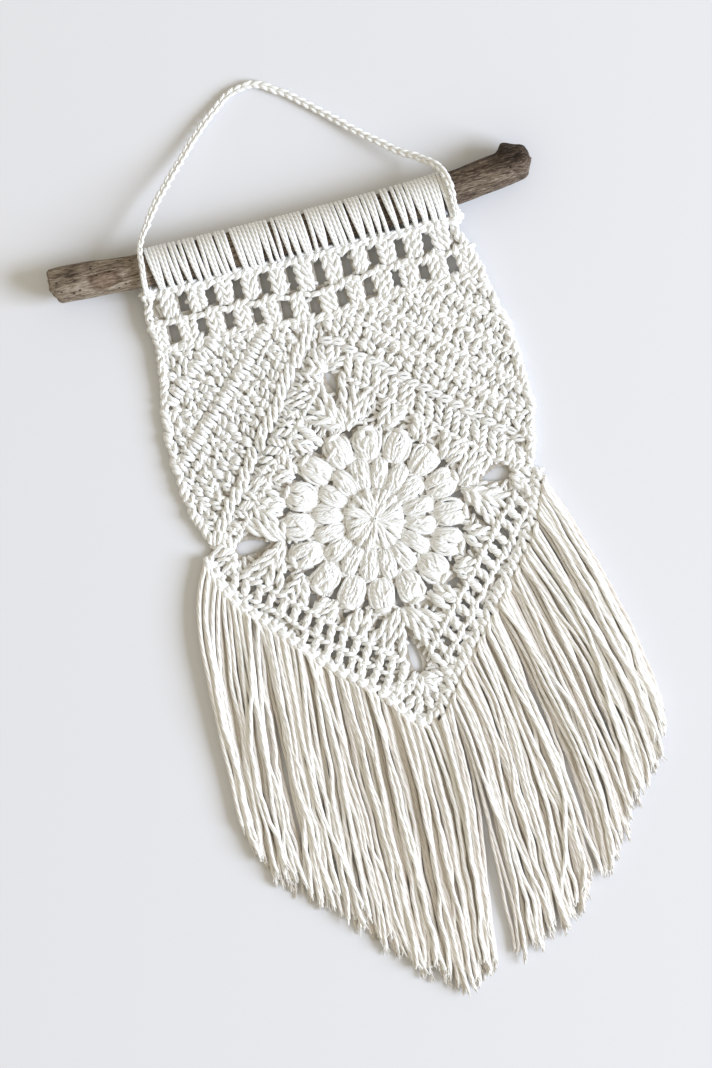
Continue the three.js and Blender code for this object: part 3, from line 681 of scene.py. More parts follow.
def heads(line, pitch, thick=2.7, slant=0.15, light=1.0):
    """The heads of a row of stitches: slanted loops that lie one behind the other along a line."""
    knots = spaced(line, pitch)
    knots[1:-1] += draw.normal(0, 0.5, knots[1:-1].shape) * (1, 1, 0.5)
    share = np.array((-0.1, 0.15, 0.5, 0.85, 1.1))
    rise = np.array((-1, 0.1, 0.35, 0.1, -1))
    strands = []
    for here, there in zip(knots, knots[1:]):
        run = there - here
        aside = np.array((-run[1], run[0], 0)) * (slant + draw.normal(0, 0.12))
        points = here + np.outer(share, run) + np.outer(2 * share - 1, aside)
        points[:, 2] += rise * thick
        strands.append((points, thick * draw.uniform(0.88, 1.1), light * shade()))
    return strands


def dip_at(x, dip):
    return dip * math.exp(-((x / DIP_REACH) ** 2))


def level_line(points, up):
    """A line on the cloth at a height above the floor."""
    points = np.array(points, float)
    return np.column_stack([points, np.full(len(points), up)])


def heading():
    strands = []
    for row in HEADING_ROWS:
        top = []
        for c in range(row["gaps"] + 1):
            x = row["first"] + (c - 0.5) * row["pitch"]
            y = row["y"] - dip_at(x, row["dip"])
            low = y - CLUSTER["high"] / 2 - dip_at(x, row["taller"]) - CLUSTER["lower"]
            high = y + CLUSTER["high"] / 2
            for k in (-1, 0, 1):
                foot, head = (x + k * CLUSTER["foot"], low), (x + k * CLUSTER["head"], high)
                strands += post(foot, head, **CLUSTER_POST)
            inner = [(x, low, 2.2), (x, y, 2.5), (x, high, 2.2)]
            strands.append((np.array(inner), np.array((4, 4.8, 5.2)), 0.8))
            top += [(x + out, high + up) for out, up in CLUSTER_TOP]
        strands += heads(level_line(smooth(top, 4) - (0, 0.4), 3.8), pitch=4.2, thick=3)
    edge = [(x, TOP_EDGE["y"]) for x in np.linspace(TOP_EDGE["left"], TOP_EDGE["right"], 60)]
    strands += chain(level_line(edge, 3.4), EDGE_STITCH, wide=5.2, thick=2.6, uneven=0.5)
    reach = np.linspace(LOW_EDGE["left"], LOW_EDGE["right"], 60)
    low = np.array([(x, LOW_EDGE["y"] - dip_at(x, LOW_EDGE["dip"])) for x in reach])
    for up in (0, 2):
        strands += heads(level_line(low + (0, up), 3), pitch=4.8)
    for knot in CORD_KNOTS:
        for angle in KNOT_ANGLES:
            foot, head = polar(angle, -KNOT_HALF) + knot, polar(angle, KNOT_HALF) + knot
            strands += post(foot, head, **KNOT_POST)
    for column, inset in ((1, SIDE_INSET), (2, -SIDE_INSET)):
        edge = spaced(smooth([(row[column] + inset, row[0]) for row in SIDES], 6), SIDE_STITCH)
        for here, there in zip(edge, edge[1:]):
            lap = SIDE_LAP * (there - here)
            strands += post(here - lap, there + lap, turns=1.2)
    return strands


heading_yarn = spin("heading_yarn", lifted(heading()), stitch_cotton)

# Sunburst
# The middle of the square: a disc of sixteen stitches, a round of sixteen puffs and a round of sixteen
# bobbles, each a bundle of yarn loops drawn together at both ends.
TURN = math.radians(2.7)
PETALS = 16
PETAL_STEP = 2 * math.pi / PETALS
DISC = 16.2
DISC_RINGS = (3.6, 7.6, 11.4, 14.2)  # rings of yarn that the disc is worked over
DISC_EYE = 0.2  # share of the disc in which its strands begin
# A strand from the middle of the disc to its rim: share of the way and height
DISC_RAY = [(0, 4.9), (0.25, 5.2), (0.5, 5.3), (0.75, 5), (0.92, 4), (1, 2)]
# A shorter strand over the rim: share of the way, height and thickness
DISC_OVER = [(0.3, 4.2, 1.3), (0.5, 5.3, 1.9), (0.74, 5.7, 2.3), (0.94, 5, 2.6), (1.04, 2.4, 2.4)]
# A strand across the middle: how far along it, and its height
DISC_KNOT = [(-3.4, 4.6), (-1.6, 5.6), (0, 5.9), (1.6, 5.6), (3.4, 4.6)]
# Bundles: where they begin and end, their size, the loops side by side and the short ones over them,
# how thick their filling is, and how far towards the end they are widest
PUFF = dict(near=16.6, far=34, wide=12.8, high=2.7, loops=6, over=5, fill=4.2, bulge=1.25)
BOBBLE = dict(near=32.8, far=49.6, wide=18.6, high=3, loops=8, over=7, fill=6, bulge=1.3)
# The stitch that closes a bobble: how far across it, and its height
BOBBLE_RIM = 50.2
CLOSING = [(-3.4, 0.9), (-1.9, 3.4), (0, 4.2), (1.9, 3.4), (3.4, 0.9)]


def disc():
    """Strands from the middle of the disc to its rim, over rings, and shorter ones over them at the rim."""
    knot = [(0, 0, 0.9), (0, 0, 2.4), (0, 0, 4.6)]
    strands = [(np.array(knot), np.array((6, 6, 2.4)), 0.8)]
    for out in DISC_RINGS:
        ring = [(*polar(angle, out), 2.1) for angle in np.linspace(0, 2 * math.pi, 17)]
        strands.append((np.array(ring), 4.4, 0.6))
    run, rise = np.array(DISC_RAY).T
    for k in range(2 * PETALS):
        share = run * (1 - DISC_EYE) + DISC_EYE * draw.uniform(0, 1)
        angle = TURN + (k / 2 + 0.25) * PETAL_STEP + draw.normal(0, 0.025)
        far = DISC * draw.uniform(0.98, 1.02)
        flat = np.array([polar(angle + 0.1 * math.sin(6 * s + 2 * k), far * s) for s in share])
        thick = np.interp(share, (0, 0.3, 0.6, 1), (1.8, 2.2, 2.7, 2.9)) * draw.uniform(0.9, 1.08)
        strands.append((np.column_stack([flat, rise + draw.normal(0, 0.25)]), thick, shade()))
    for angle in draw.uniform(0, 2 * math.pi, 4):
        points = [(*(polar(angle, out) + polar(angle + 1.6, 0.6)), up) for out, up in DISC_KNOT]
        strands.append((np.array(points), 1.7, shade()))
    for k in range(PETALS):
        angle = TURN + (k + draw.uniform(-0.3, 0.3)) * PETAL_STEP
        bent = draw.normal(0, 0.12)
        points = [(*polar(angle + bent * s, DISC * s), up) for s, up, _ in DISC_OVER]
        strands.append((np.array(points), np.array(DISC_OVER)[:, 2], shade()))
    return strands


def bundle(angle, shape):
    """Loops of yarn over a rounded lump, drawn together at both ends, and short ones over them."""
    out, aside = ways(angle)
    size = draw.uniform(0.94, 1.04)
    even = np.linspace(0, 1, 9)
    loops = shape["loops"]
    strands = []
    for j in range(-2, loops + shape["over"]):
        run, proud = even, draw.uniform(-0.35, 0.5)
        across = -1 + 2 * (j + 0.5) / loops + draw.normal(0, 0.1) * (1 - 2 * even)
        thick = draw.uniform(1.9, 2.4)
        if j < 0:  # the two strands that fill the lump
            across = np.full(len(even), 0.4 * (2 * j + 3))
            proud = -0.5 * shape["high"]
            thick = shape["fill"]
        elif j >= loops:
            run = draw.uniform(0.05, 0.5) + draw.uniform(0.34, 0.46) * even
            proud = 1.8 * np.sin(np.pi * even) - 0.9
            across = draw.uniform(-0.75, 0.75) + draw.normal(0, 0.3) * (2 * even - 1)
            thick = draw.uniform(1.7, 2.2)
        swell = np.sqrt(1 - 0.93 * np.abs(2 * run ** shape["bulge"] - 1) ** 2.4)
        wave = 0.5 * np.sin(2 * np.pi * (run * draw.uniform(0.6, 1.4) + draw.uniform()))
        across = np.clip(across, -0.95, 0.95)
        offset = across * (shape["wide"] * size - PLUMP) / 2 * (0.25 + 0.75 * swell) + wave * swell
        dome = np.sqrt(1 - 0.9 * across**2)
        up = 1.7 + shape["high"] * dome * swell + proud + 0.4 * wave - 1.4 * (2 * run - 1) ** 6
        far = shape["near"] + (shape["far"] - shape["near"]) * run
        points = np.column_stack([np.outer(far, out) + np.outer(offset, aside), up])
        strands.append((points, thick * (0.55 + 0.45 * swell), draw.uniform(0.6, 1)))
    return strands


def sunburst():
    strands = disc()
    for k in range(PETALS):
        angle = TURN + (k + 0.5) * PETAL_STEP
        strands += bundle(TURN + k * PETAL_STEP, PUFF)
        strands += bundle(angle, BOBBLE)
        aside = polar(angle + math.pi / 2, 1)
        points = [(*(polar(angle, BOBBLE_RIM) + aside * across), up) for across, up in CLOSING]
        strands.append((np.array(points), 3, shade()))
    return strands


sunburst_yarn = spin("sunburst_yarn", lifted(sunburst()), stitch_cotton)

# Square
# Rounds of tall stitches that square the sunburst off: groups of three, fans at the four corners round
# an open eyelet, and two more rounds that stay open along the lower sides.
GROUP_RUNS = (-19.2, 0, 19.2)
GROUP_FOOT, GROUP_HEAD = 50, 62.4  # how far out the stitches of a group begin and end
FOOT_APART, HEAD_APART = 1.9, 6.2
ROUND_LINES = (61.4, 71.4)
LINE_REACH = 50  # half the length of a round's line of heads
# The two lower edges, from the side of the cloth to its rounded tip
LEFT_HEM = [(-94.3, 2), (-85.6, -22.6), (-66.4, -44.8), (-42.1, -71.9), (-19, -93), (-7, -109.5), (1, -114)]
RIGHT_HEM = [(94.5, 4), (88.6, -9.7), (78.9, -28.5), (50.8, -61.8), (24.5, -91.5), (11, -109.5), (1, -114)]
LEANS = {2: math.radians(11), 3: -math.radians(11)}  # how the stitches on each lower side lean
# Open corners: middle, length, width, and the direction that they point away from the sunburst
TIP_EYELET = dict(at=(3.2, -77), long=21, wide=8, towards=274)
EYELETS = [
    dict(at=(-68, 1.5), long=19, wide=11, towards=178),
    dict(at=(70.5, 7.5), long=15, wide=10.5, towards=4),
    dict(at=(-4.5, 79), long=13, wide=6.4, towards=94),
    TIP_EYELET,
]
EYELET_RIM = 0.8
FAN_FOOT, FAN_HEAD = 51, 62.5
FAN_STEP = math.radians(14)
FAN_CLEAR = 4.3  # how far the first stitches of a fan lie from the eyelet
FOOT_DRAWN = np.linspace(0.45, 0.1, POST_POINTS)  # stitches out of one gap are drawn thin at the foot
FAN_POST = dict(wide=5.8, thick=2.9, drawn=FOOT_DRAWN)
FAN_TURN = 17  # the strands of a fan's stitch wind once about each other in this length
# Rings of stitches past an eyelet's outer end: how far they reach, and their step; the tip has a second
RING_REACH, RING_STEP = 13, math.radians(25)
TIP_REACH, TIP_STEP = 21, math.radians(20)
# The open rounds along the lower sides: where the stitches stand, and the slots between them
LOWER_ROUNDS = [
    dict(foot=61.4, head=71.6, count=12, pitch=7.5, first=-40, slot_out=66.3, slot_long=6.4, slot_wide=2.3),
    dict(foot=71.2, head=79.2, count=13, pitch=7.4, first=-44, slot_out=75.1, slot_long=4.4, slot_wide=2.1),
]
LOWER_POST = dict(wide=5.2, turns=1.1, thick=3.4, level=3.4, drawn=0.08)
LOWER_LINE_UP = 4.1  # the lines of heads stand proud on the lower sides
UPPER_LINE_UP = 3


def side(quarter, turn=0.0):
    """A side of the square, or a row turned from it: outward angle, and places by the run and the way out."""
    angle = TURN + math.pi / 4 + quarter * math.pi / 2 + turn
    out, along = ways(angle)
    return angle, lambda run, far: out * far + along * run


def facing(angle):
    """The outward angle of the side of the square that faces most nearly that way."""
    quarters = round((angle - TURN - math.pi / 4) / (math.pi / 2))
    return quarters * math.pi / 2 + TURN + math.pi / 4


def eyelet_end(eyelet):
    """The way that an eyelet points, and the place just past its outer end."""
    towards = math.radians(eyelet["towards"])
    return towards, np.array(eyelet["at"]) + polar(towards, eyelet["long"] / 2 + EYELET_RIM)


def fans():
    """Stitches that fan out from each corner of the sunburst on both sides of its eyelet, and past it."""
    strands = []
    for eyelet in EYELETS:
        towards, end = eyelet_end(eyelet)
        middle = np.array(eyelet["at"])
        foot = polar(math.atan2(middle[1], middle[0]), FAN_FOOT)
        first = math.atan2(eyelet["wide"] / 2 + FAN_CLEAR, np.linalg.norm(middle - foot))
        for hand in (-1, 1):
            for k in range(4):
                angle = towards + hand * (first + k * FAN_STEP)
                normal = polar(facing(angle), 1)
                long = (FAN_HEAD - foot @ normal) / (polar(angle, 1) @ normal)
                start, head = foot + polar(angle, 1), foot + polar(angle, long)
                strands += post(start, head, turns=long / FAN_TURN, **FAN_POST)
        for k in range(-3, 4):
            angle = towards + k * RING_STEP
            start, head = end + polar(angle, 1), end + polar(angle, RING_REACH)
            strands += post(start, head, turns=1, **FAN_POST)
    towards, end = eyelet_end(TIP_EYELET)
    for k in range(-4, 5):
        angle = towards + k * TIP_STEP
        start, head = end + polar(angle, RING_REACH), end + polar(angle, TIP_REACH)
        strands += post(start, head, wide=5.6, turns=1)
    return strands


def inside(points, outline):
    """Which of the points lie inside an outline."""
    x, y = np.atleast_2d(points).T[:, :, None]
    x0, y0 = np.array(outline).T
    x1, y1 = np.roll(outline, -1, axis=0).T
    level = np.where(y1 == y0, 1, y1 - y0)
    crossing = ((y0 > y) != (y1 > y)) & (x < x0 + (y - y0) * (x1 - x0) / level)
    return crossing.sum(1) % 2 == 1


def cloth_outline():
    left = [(row[1], row[0]) for row in SIDES]
    right = [(row[2], row[0]) for row in SIDES]
    return left + LEFT_HEM + RIGHT_HEM[-2::-1] + right[::-1]


def square():
    strands = fans()
    for quarter in range(4):
        at = side(quarter)[1]
        for run in GROUP_RUNS:
            for k in (-1, 0, 1):
                near = math.sqrt(GROUP_FOOT**2 - (run + k * FOOT_APART) ** 2)
                foot, head = at(run + k * FOOT_APART, near), at(run + k * HEAD_APART, GROUP_HEAD)
                strands += post(foot, head, turns=1.3, drawn=FOOT_DRAWN)
        lines, up = ROUND_LINES[:1], UPPER_LINE_UP
        if quarter in LEANS:
            lines, up = ROUND_LINES, LOWER_LINE_UP
            for row in LOWER_ROUNDS:
                shift = math.tan(LEANS[quarter]) * (row["head"] - row["foot"]) / 2
                for k in range(-1, row["count"] + 2):
                    run = row["first"] + (k - 0.5) * row["pitch"]
                    foot, head = at(run - shift, row["foot"]), at(run + shift, row["head"])
                    if inside(head, cloth_outline())[0]:
                        strands += post(foot, head, **LOWER_POST)
        for out in lines:
            line = [at(run, out) for run in np.linspace(-LINE_REACH, LINE_REACH, 20)]
            strands += heads(level_line(line, up), pitch=3.75, thick=2.5, slant=0.2)
    return strands


square_yarn = spin("square_yarn", lifted(square()), stitch_cotton)

# Corner pieces
# Rows of stitches worked back and forth along the two upper sides of the square, until its corners are
# filled out to a straight edge. On the right the stitches lean upright.
UPPER_PITCH = 5.6
UPPER_WIDE, UPPER_THICK = 5.6, 2.65
UPPER_CROSSED = 0.4  # share of the stitches that a strand crosses over
ROW_REACH, FIRST_REACH = 90, 54  # half the length of a row, and of the first row
# Each row's foot and head: how far out it lies, and how far it is turned from the side of the square
LEFT_ROWS = [
    (61.6, 0, 71.5, 4),
    (78.5, 4, 90.5, 0.2),
    (90.5, 0.2, 101.5, -3.4),
    (104.5, -3.8, 115.5, -5.8),
    (115.5, -5.8, 125.5, -7.6),
    (128, -8, 139, -9),
    (139, -9, 150, -10),
]
RIGHT_ROWS = [
    (61.4, 0, 74, 0),
    (79, 0, 91, 0),
    (91.5, 0, 103.5, 0),
    (104, 0, 116, 0),
    (116.5, 0, 128.5, 0),
    (129, 0, 141, 0),
    (141, 0, 152, 0),
]
# Ridges over the rows on the left and lines of heads on the right: how far out, and their turn
LEFT_RIDGES = [(105.2, -3.8), (128.6, -8)]
RIDGE = dict(pitch=2.7, wide=7, level=5.35, thick=2.5)
RIGHT_LINES = [(91, 0), (103.6, 0), (116, 0), (128.6, 0), (141, 0)]
# A rope of long loops on each side, along the square
LEFT_ROPE = dict(out=75, turn=4.7, pitch=6.3, loop=8.4, skew=27, level=4.9, thick=2.8)
RIGHT_ROPE = dict(out=76.8, turn=1, pitch=6.6, loop=7.8, skew=22, level=3.6, thick=2.2)
RIGHT_LEAN = math.radians(24)
CORNER_TOP = [(40, 118), (92, 119)]
CORNERS_MEET = (-4, 50, 113)
CORNER_INSET = 3.5


def corner_room(hand, column):
    """Outline of the room for one corner piece."""
    x, low, high = CORNERS_MEET
    top = [(hand * out, y) for out, y in CORNER_TOP]
    edge = [(row[column] - hand * CORNER_INSET, row[0]) for row in SIDES if 0 < row[0] < CORNER_TOP[0][1]]
    return [(x, low), (x, high), *top, *edge, (hand * 60, 0), (0, 0)]


def row_line(quarter, out, turn, room):
    """A row's line across the room for a corner piece."""
    at = side(quarter, math.radians(turn))[1]
    line = [at(run, out) for run in np.arange(-ROW_REACH, ROW_REACH, 1.5)]
    return [point for point, kept in zip(line, inside(line, room)) if kept]


def rope_loops(line, rope):
    """Long loops, two strands each, that lie one behind the other and a little across the line."""
    share = np.linspace(-0.5, 0.5, 7)
    apart = 0.55 * rope["thick"] - 3 * share**2
    up = rope["level"] - 28 * share**4
    knots = spaced(line, rope["pitch"])
    strands = []
    for here, there in zip(knots, knots[1:]):
        ahead = math.atan2(*(there - here)[::-1]) + math.radians(rope["skew"] + draw.normal(0, 7))
        way, aside = polar(ahead, rope["loop"]), polar(ahead + math.pi / 2, 1)
        middle = (here + there) / 2 + jitter(0.6)
        for hand in (-1, 1):
            flat = middle + np.outer(share, way) + np.outer(hand * apart, aside)
            points = np.column_stack([flat, up + draw.normal(0, 0.3)])
            strands.append((points, rope["thick"] * draw.uniform(0.9, 1.1), shade()))
    return strands


def ridge(line):
    """Short stitches side by side across a line, each arched over it."""
    share = np.linspace(-0.5, 0.5, 6)
    knots = spaced(line, RIDGE["pitch"])
    strands = []
    for here, there in zip(knots, knots[1:]):
        across = math.atan2(*(there - here)[::-1]) + math.pi / 2 + draw.normal(0, 0.14)
        long = RIDGE["wide"] * draw.uniform(0.9, 1.15)
        flat = (here + there) / 2 + np.outer(share, polar(across, long)) + jitter(0.25)
        up = RIDGE["level"] - 12 * share**2 + draw.normal(0, 0.3)
        strands.append((np.column_stack([flat, up]), RIDGE["thick"] * draw.uniform(0.9, 1.1), shade()))
    return strands


def row_heads(line):
    """A line of heads at the level of the rows."""
    return heads(level_line(line, 3.2), pitch=4, thick=3.2, slant=0.3)


def corner_piece(quarter, rows, lines, cover, rope, lean, room):
    """Rows of stitches, two deep but in the first row, the ridges or heads over them, and a rope."""
    strands = []
    for i, (near, near_turn, far, far_turn) in enumerate(rows):
        shift = math.tan(lean) * (far - near) / 2
        reach = ROW_REACH if i else FIRST_REACH
        low, high = (side(quarter, math.radians(turn))[1] for turn in (near_turn, far_turn))
        for run in np.arange(-reach, reach, UPPER_PITCH) + 3 * (i % 2):
            foot, head = low(run - shift, near), high(run + shift, far)
            stitches = [(foot, head)]
            if i:
                middle = (foot + head) / 2
                aside = high(UPPER_PITCH / 2, far) - high(0, far)
                stitches = [(foot, middle), (middle + aside, head + aside)]
            for foot, head in stitches:
                if inside((foot + head) / 2, room)[0]:
                    crossed = draw.uniform() < UPPER_CROSSED
                    turns = draw.uniform(0.08, 0.16) * np.linalg.norm(head - foot)
                    strands += post(foot, head, UPPER_WIDE, turns, UPPER_THICK, over=crossed)
    for out, turn in lines:
        line = row_line(quarter, out, turn, room)
        if len(line) > 6:
            strands += cover(line)
    return strands + rope_loops(row_line(quarter, rope["out"], rope["turn"], room), rope)


def corner_pieces():
    left = corner_piece(1, LEFT_ROWS, LEFT_RIDGES, ridge, LEFT_ROPE, 0, corner_room(-1, 1))
    right = corner_piece(0, RIGHT_ROWS, RIGHT_LINES, row_heads, RIGHT_ROPE, RIGHT_LEAN, corner_room(1, 2))
    return left + right


corner_yarn = spin("corner_yarn", lifted(corner_pieces()), stitch_cotton)

# Cloth
# The ground of the crochet: the web of yarn between and behind the raised stitches, open at every gap,
# eyelet and slot, with the loops that show deep between them. Web and loops are coloured darker than the
# stitches as painted shade.
WEB_THICK = 0.7
WEB_MIDDLE = 1.1
WEB_INSET = 1.6  # the web ends a little inside the stitches round its edge
LOOP_PITCH = 3.7
GROUND_LOOP = ((-3, 1.2), (-1, 1.9), (1, 1.9), (3, 1.2))
GROUND_CLEAR = 3.6  # how much wider than a gap the room is that loops keep clear
GAP_TAPER = 0.82
# The ground yarn is coloured darker than the stitches, as painted shade deep between them.
GROUND_DEEP = (0.62, 0.585, 0.53)
GROUND_PALE = (0.91, 0.89, 0.85)
# How long the gap before each bobble is, if it has one
BOBBLE_GAPS = [8, 5, 4.5, 0, 4, 4, 6, 5, 9, 9, 11, 6, 10, 7, 9, 9]
# Gaps between the groups on the lower sides: x, y, length, width, turn
GROUP_GAPS = [
    (-56, -18.5, 9, 3.2, 25),
    (-43.5, -35.5, 8, 4.4, 75),
    (-27, -47, 4.6, 2.8, 0),
    (-12, -57, 6.5, 3.2, 60),
    (56, -11, 9, 4, 140),
    (46, -28, 5, 2.4, 75),
    (34, -44.5, 6.5, 5, 20),
    (18, -56, 6.5, 2.4, 125),
]


def slit(middle, turn, long, wide_from, wide_to):
    """Corners of a gap about a point, long in the direction that it is turned to."""
    out, aside = ways(turn)
    corners = ((-long, -wide_from), (long, -wide_to), (long, wide_to), (-long, wide_from))
    return [np.array(middle) + (out * a + aside * b) / 2 for a, b in corners]


def teardrop(eyelet):
    towards = math.radians(eyelet["towards"])
    out, aside = ways(towards)
    corners = []
    for angle in np.linspace(0, 2 * math.pi, 20, endpoint=False):
        taper = 0.35 + 0.65 * (1 + math.cos(angle)) / 2
        far, wide = eyelet["long"] / 2 * math.cos(angle), eyelet["wide"] / 2 * math.sin(angle) * taper
        corners.append(np.array(eyelet["at"]) + out * far + aside * wide)
    return corners


def cloth_gaps():
    found = [teardrop(eyelet) for eyelet in EYELETS]
    for k, long in enumerate(BOBBLE_GAPS):
        angle = TURN + k * PETAL_STEP
        if long:
            found.append(slit(polar(angle, BOBBLE_RIM - long / 2), angle, long, 1.2, 4.6))
    for x, y, long, wide, turn in GROUP_GAPS:
        found.append(slit((x, y), math.radians(turn), long, wide, wide * GAP_TAPER))
    for quarter, lean in LEANS.items():
        angle, at = side(quarter)
        for row in LOWER_ROUNDS:
            for k in range(row["count"]):
                middle = at(row["first"] + k * row["pitch"], row["slot_out"])
                found.append(slit(middle, angle + lean, row["slot_long"], row["slot_wide"], row["slot_wide"]))
    for row in HEADING_ROWS:
        for k in range(row["gaps"]):
            x = row["first"] + k * row["pitch"]
            wide = row["last"] if k == row["gaps"] - 1 else row["wide"]
            taller = dip_at(x, row["taller"])
            middle = (x, row["y"] - dip_at(x, row["dip"]) - taller / 2)
            found.append(slit(middle, math.pi / 2, row["high"] + taller, wide, wide * GAP_TAPER))
    return [corners for corners in found if inside(corners, web_outline()).all()]


def web_outline():
    edge = np.array(cloth_outline())
    along = np.roll(edge, -1, axis=0) - np.roll(edge, 1, axis=0)
    inward = np.column_stack([-along[:, 1], along[:, 0]]) / np.linalg.norm(along, axis=1)[:, None]
    return edge + inward * WEB_INSET


def ground():
    """Loose loops of yarn all over the web, clear of its gaps, drawn darker as painted shade."""
    across, along = np.meshgrid(np.arange(-100, 100, LOOP_PITCH), np.arange(-106, 148, LOOP_PITCH))
    spots = np.column_stack([across.ravel(), along.ravel()]) + draw.normal(0, 0.8, (across.size, 2))
    kept = inside(spots, cloth_outline()) & inside(spots * 1.05 - (0, 1), cloth_outline())
    for corners in cloth_gaps():
        middle = np.mean(corners, axis=0)
        size = np.ptp(corners, axis=0).min()
        kept &= ~inside(spots, middle + (np.array(corners) - middle) * (1 + GROUND_CLEAR / size))
    strands = []
    for spot in spots[kept]:
        way = polar(draw.uniform(0, 2 * math.pi), 1)
        bend = polar(draw.uniform(0, 2 * math.pi), 0.8)
        points = [(*(spot + way * a + bend * (1 - abs(a) / 3)), up) for a, up in GROUND_LOOP]
        # Painted shade: the loops are drawn darker, deep between the stitches.
        strands.append((np.array(points), 2.4, draw.uniform(0.1, 0.7)))
    return strands


def web_mesh():
    """The outline filled between its gaps, with a thickness."""
    flat = bpy.data.curves.new("crochet_cloth", "CURVE")
    flat.dimensions = "2D"
    flat.fill_mode = "BOTH"
    flat.extrude = WEB_THICK / 2 * MM
    for corners in [web_outline(), *cloth_gaps()]:
        loop = flat.splines.new("POLY")
        loop.points.add(len(corners) - 1)
        for point, (x, y) in zip(loop.points, corners):
            point.co = (x * MM, y * MM, 0, 1)
        loop.use_cyclic_u = True
    pattern = put("crochet_cloth_pattern", flat)
    ready = bpy.context.evaluated_depsgraph_get()
    mesh = bpy.data.meshes.new_from_object(pattern.evaluated_get(ready))
    bpy.data.objects.remove(pattern)
    bpy.data.curves.remove(flat)
    for vertex in mesh.vertices:
        vertex.co.z += (WEB_MIDDLE + lift_at(vertex.co.x / MM, vertex.co.y / MM)) * MM
    return mesh


def painted_shade_cotton():
    """Painted shade: dark tan cotton for the web deep between the stitches, in fine loops."""
    made, tree, shader = material("painted_shade_cotton", Roughness=0.95)
    place = wire(tree, "ShaderNodeTexCoord").outputs["Object"]
    loops = wire(tree, "ShaderNodeTexVoronoi", Vector=place, Scale=420.0).outputs["Distance"]
    fuzz = wire(tree, "ShaderNodeTexNoise", Vector=place, Scale=1800.0, Detail=2.0).outputs["Fac"]
    rough = maths(tree, "MULTIPLY_ADD", fuzz, 0.4, loops)
    # Painted shade: the web's colours stand for the shade deep between the stitches.
    colour = ramp(tree, rough, (0, (0.62, 0.57, 0.5)), (1, (0.42, 0.38, 0.32)))
    dress(tree, shader, colour, loops, 0.6, 0.0008)
    return made


cloth = put("crochet_cloth", web_mesh())
cloth.data.materials.append(painted_shade_cotton())
ground_cotton = cotton("ground_cotton", 0.013, 5, GROUND_DEEP, GROUND_PALE)
ground_yarn = spin("ground_yarn", lifted(ground()), ground_cotton, step=2, sides=5)
stitches = [heading_yarn, sunburst_yarn, square_yarn, corner_yarn, ground_yarn]
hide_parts("crochet_panel")
for piece in [cloth, *stitches]:
    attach(piece, "root")

# Fringe
# Doubled lengths of yarn knotted over the two lower edges, eight ends to a knot, combed straight and cut
# to a slant at the bottom. They lie over and under each other, and their cut ends fray.
draw = np.random.default_rng(5)
FRINGE_KNOTS = 24
FRINGE_YARN = 2.5
FRINGE_SPREAD = 0.17  # how far apart along the edge the ends of one knot hang
HEM_STEP = 0.5
# The eight ends at a knot: how far each is along the edge, and how high it lies between floor and top
FRINGE_ENDS = [
    (-1.3, 0.85), (1.3, 0.95), (-0.6, 0.55), (2.2, 0.6),
    (0.6, 0.2), (-2.2, 0.25), (-1.4, 0.05), (1.6, 0.05),
]
FRINGE_DEPTH = 4
# How a strand comes out of its knot on the left edge and on the right one: how far out, and how high
FRONT_RISE = ((0.2, 2), (2.2, 2.6))
BACK_RISE = ((-2.4, 1.2), (0.4, 3.4), (3.4, 4.8))
# The two bars of a knot that show: places along the edge, out from it, and their height
FRINGE_BARS = [
    [(-2.6, -0.8, 2), (-2.2, 1.2, 4.8), (-0.2, 2, 6.4), (1.8, 1, 5), (2.4, -0.8, 2)],
    [(-1.6, -2.6, 2), (-1.4, -1, 4.4), (0.6, -0.2, 5.6), (2.2, -0.8, 4.2), (2.6, -2.6, 2)],
]
# Along each lower edge from its side to the tip: share, end x, y, how early the strands turn down, and
# how far they bow to the right on the way; the last knots on the right fall in with the left fringe
FRINGE = {
    "left": [
        (0, -110.5, -150, 7, 0),
        (0.15, -100, -176, 1.8, 0.5),
        (0.41, -68, -203, 1.3, 0.5),
        (0.7, -36, -242, 1.2, 0.5),
        (0.9, -10, -260, 1.2, 2),
        (1, 3, -251, 2, 6.5),
    ],
    "right": [
        (0, 129.5, -142, 1.6, 0),
        (0.2, 111.5, -174, 1.6, 1),
        (0.42, 80.5, -213, 1.6, 2),
        (0.7, 47, -240, 1.8, 2.5),
        (0.875, 18.5, -250, 4, 2),
        (0.88, 6, -250, 2, 7),
        (1, 1, -252, 2, 6),
    ],
}
# The deep colour is painted shade, for the lower ends and the ply grooves.
FRINGE_DEEP = (0.63, 0.54, 0.445)
FRINGE_PALE = (0.975, 0.955, 0.905)
fringe_cotton = cotton("fringe_cotton", 0.034, 5, FRINGE_DEEP, FRINGE_PALE, tone_and_shade=0.45)


def frayed(end, way, tone_and_shade):
    """The fine plies of a cut end, opened out."""
    strands = []
    for k in range(5):
        spread = draw.normal(0, 0.8, 3) * (1, 1, 0.4)
        tip = end + way * draw.uniform(1.5, 4) + spread
        points = np.array([end - way * 1.5, end + way * 0.6 + spread * 0.5, tip])
        strands.append((points, np.array((1.3, 1, 0.6)), min(1, tone_and_shade + 0.3)))
    return strands


def hem_at(hem, share, hand):
    """The place at a share of a hem's length, and the ways along it and out from the cloth there."""
    line = smooth(hem, 8)
    reach = reach_along(line)
    at = share * reach[-1]
    near = [[np.interp(at + step, reach, column) for column in line.T] for step in (0, HEM_STEP)]
    place, ahead = line[-2:] if at + HEM_STEP > reach[-1] else np.array(near)
    along = (ahead - place) / np.linalg.norm(ahead - place)
    return place, along, np.array((along[1], -along[0])) * hand


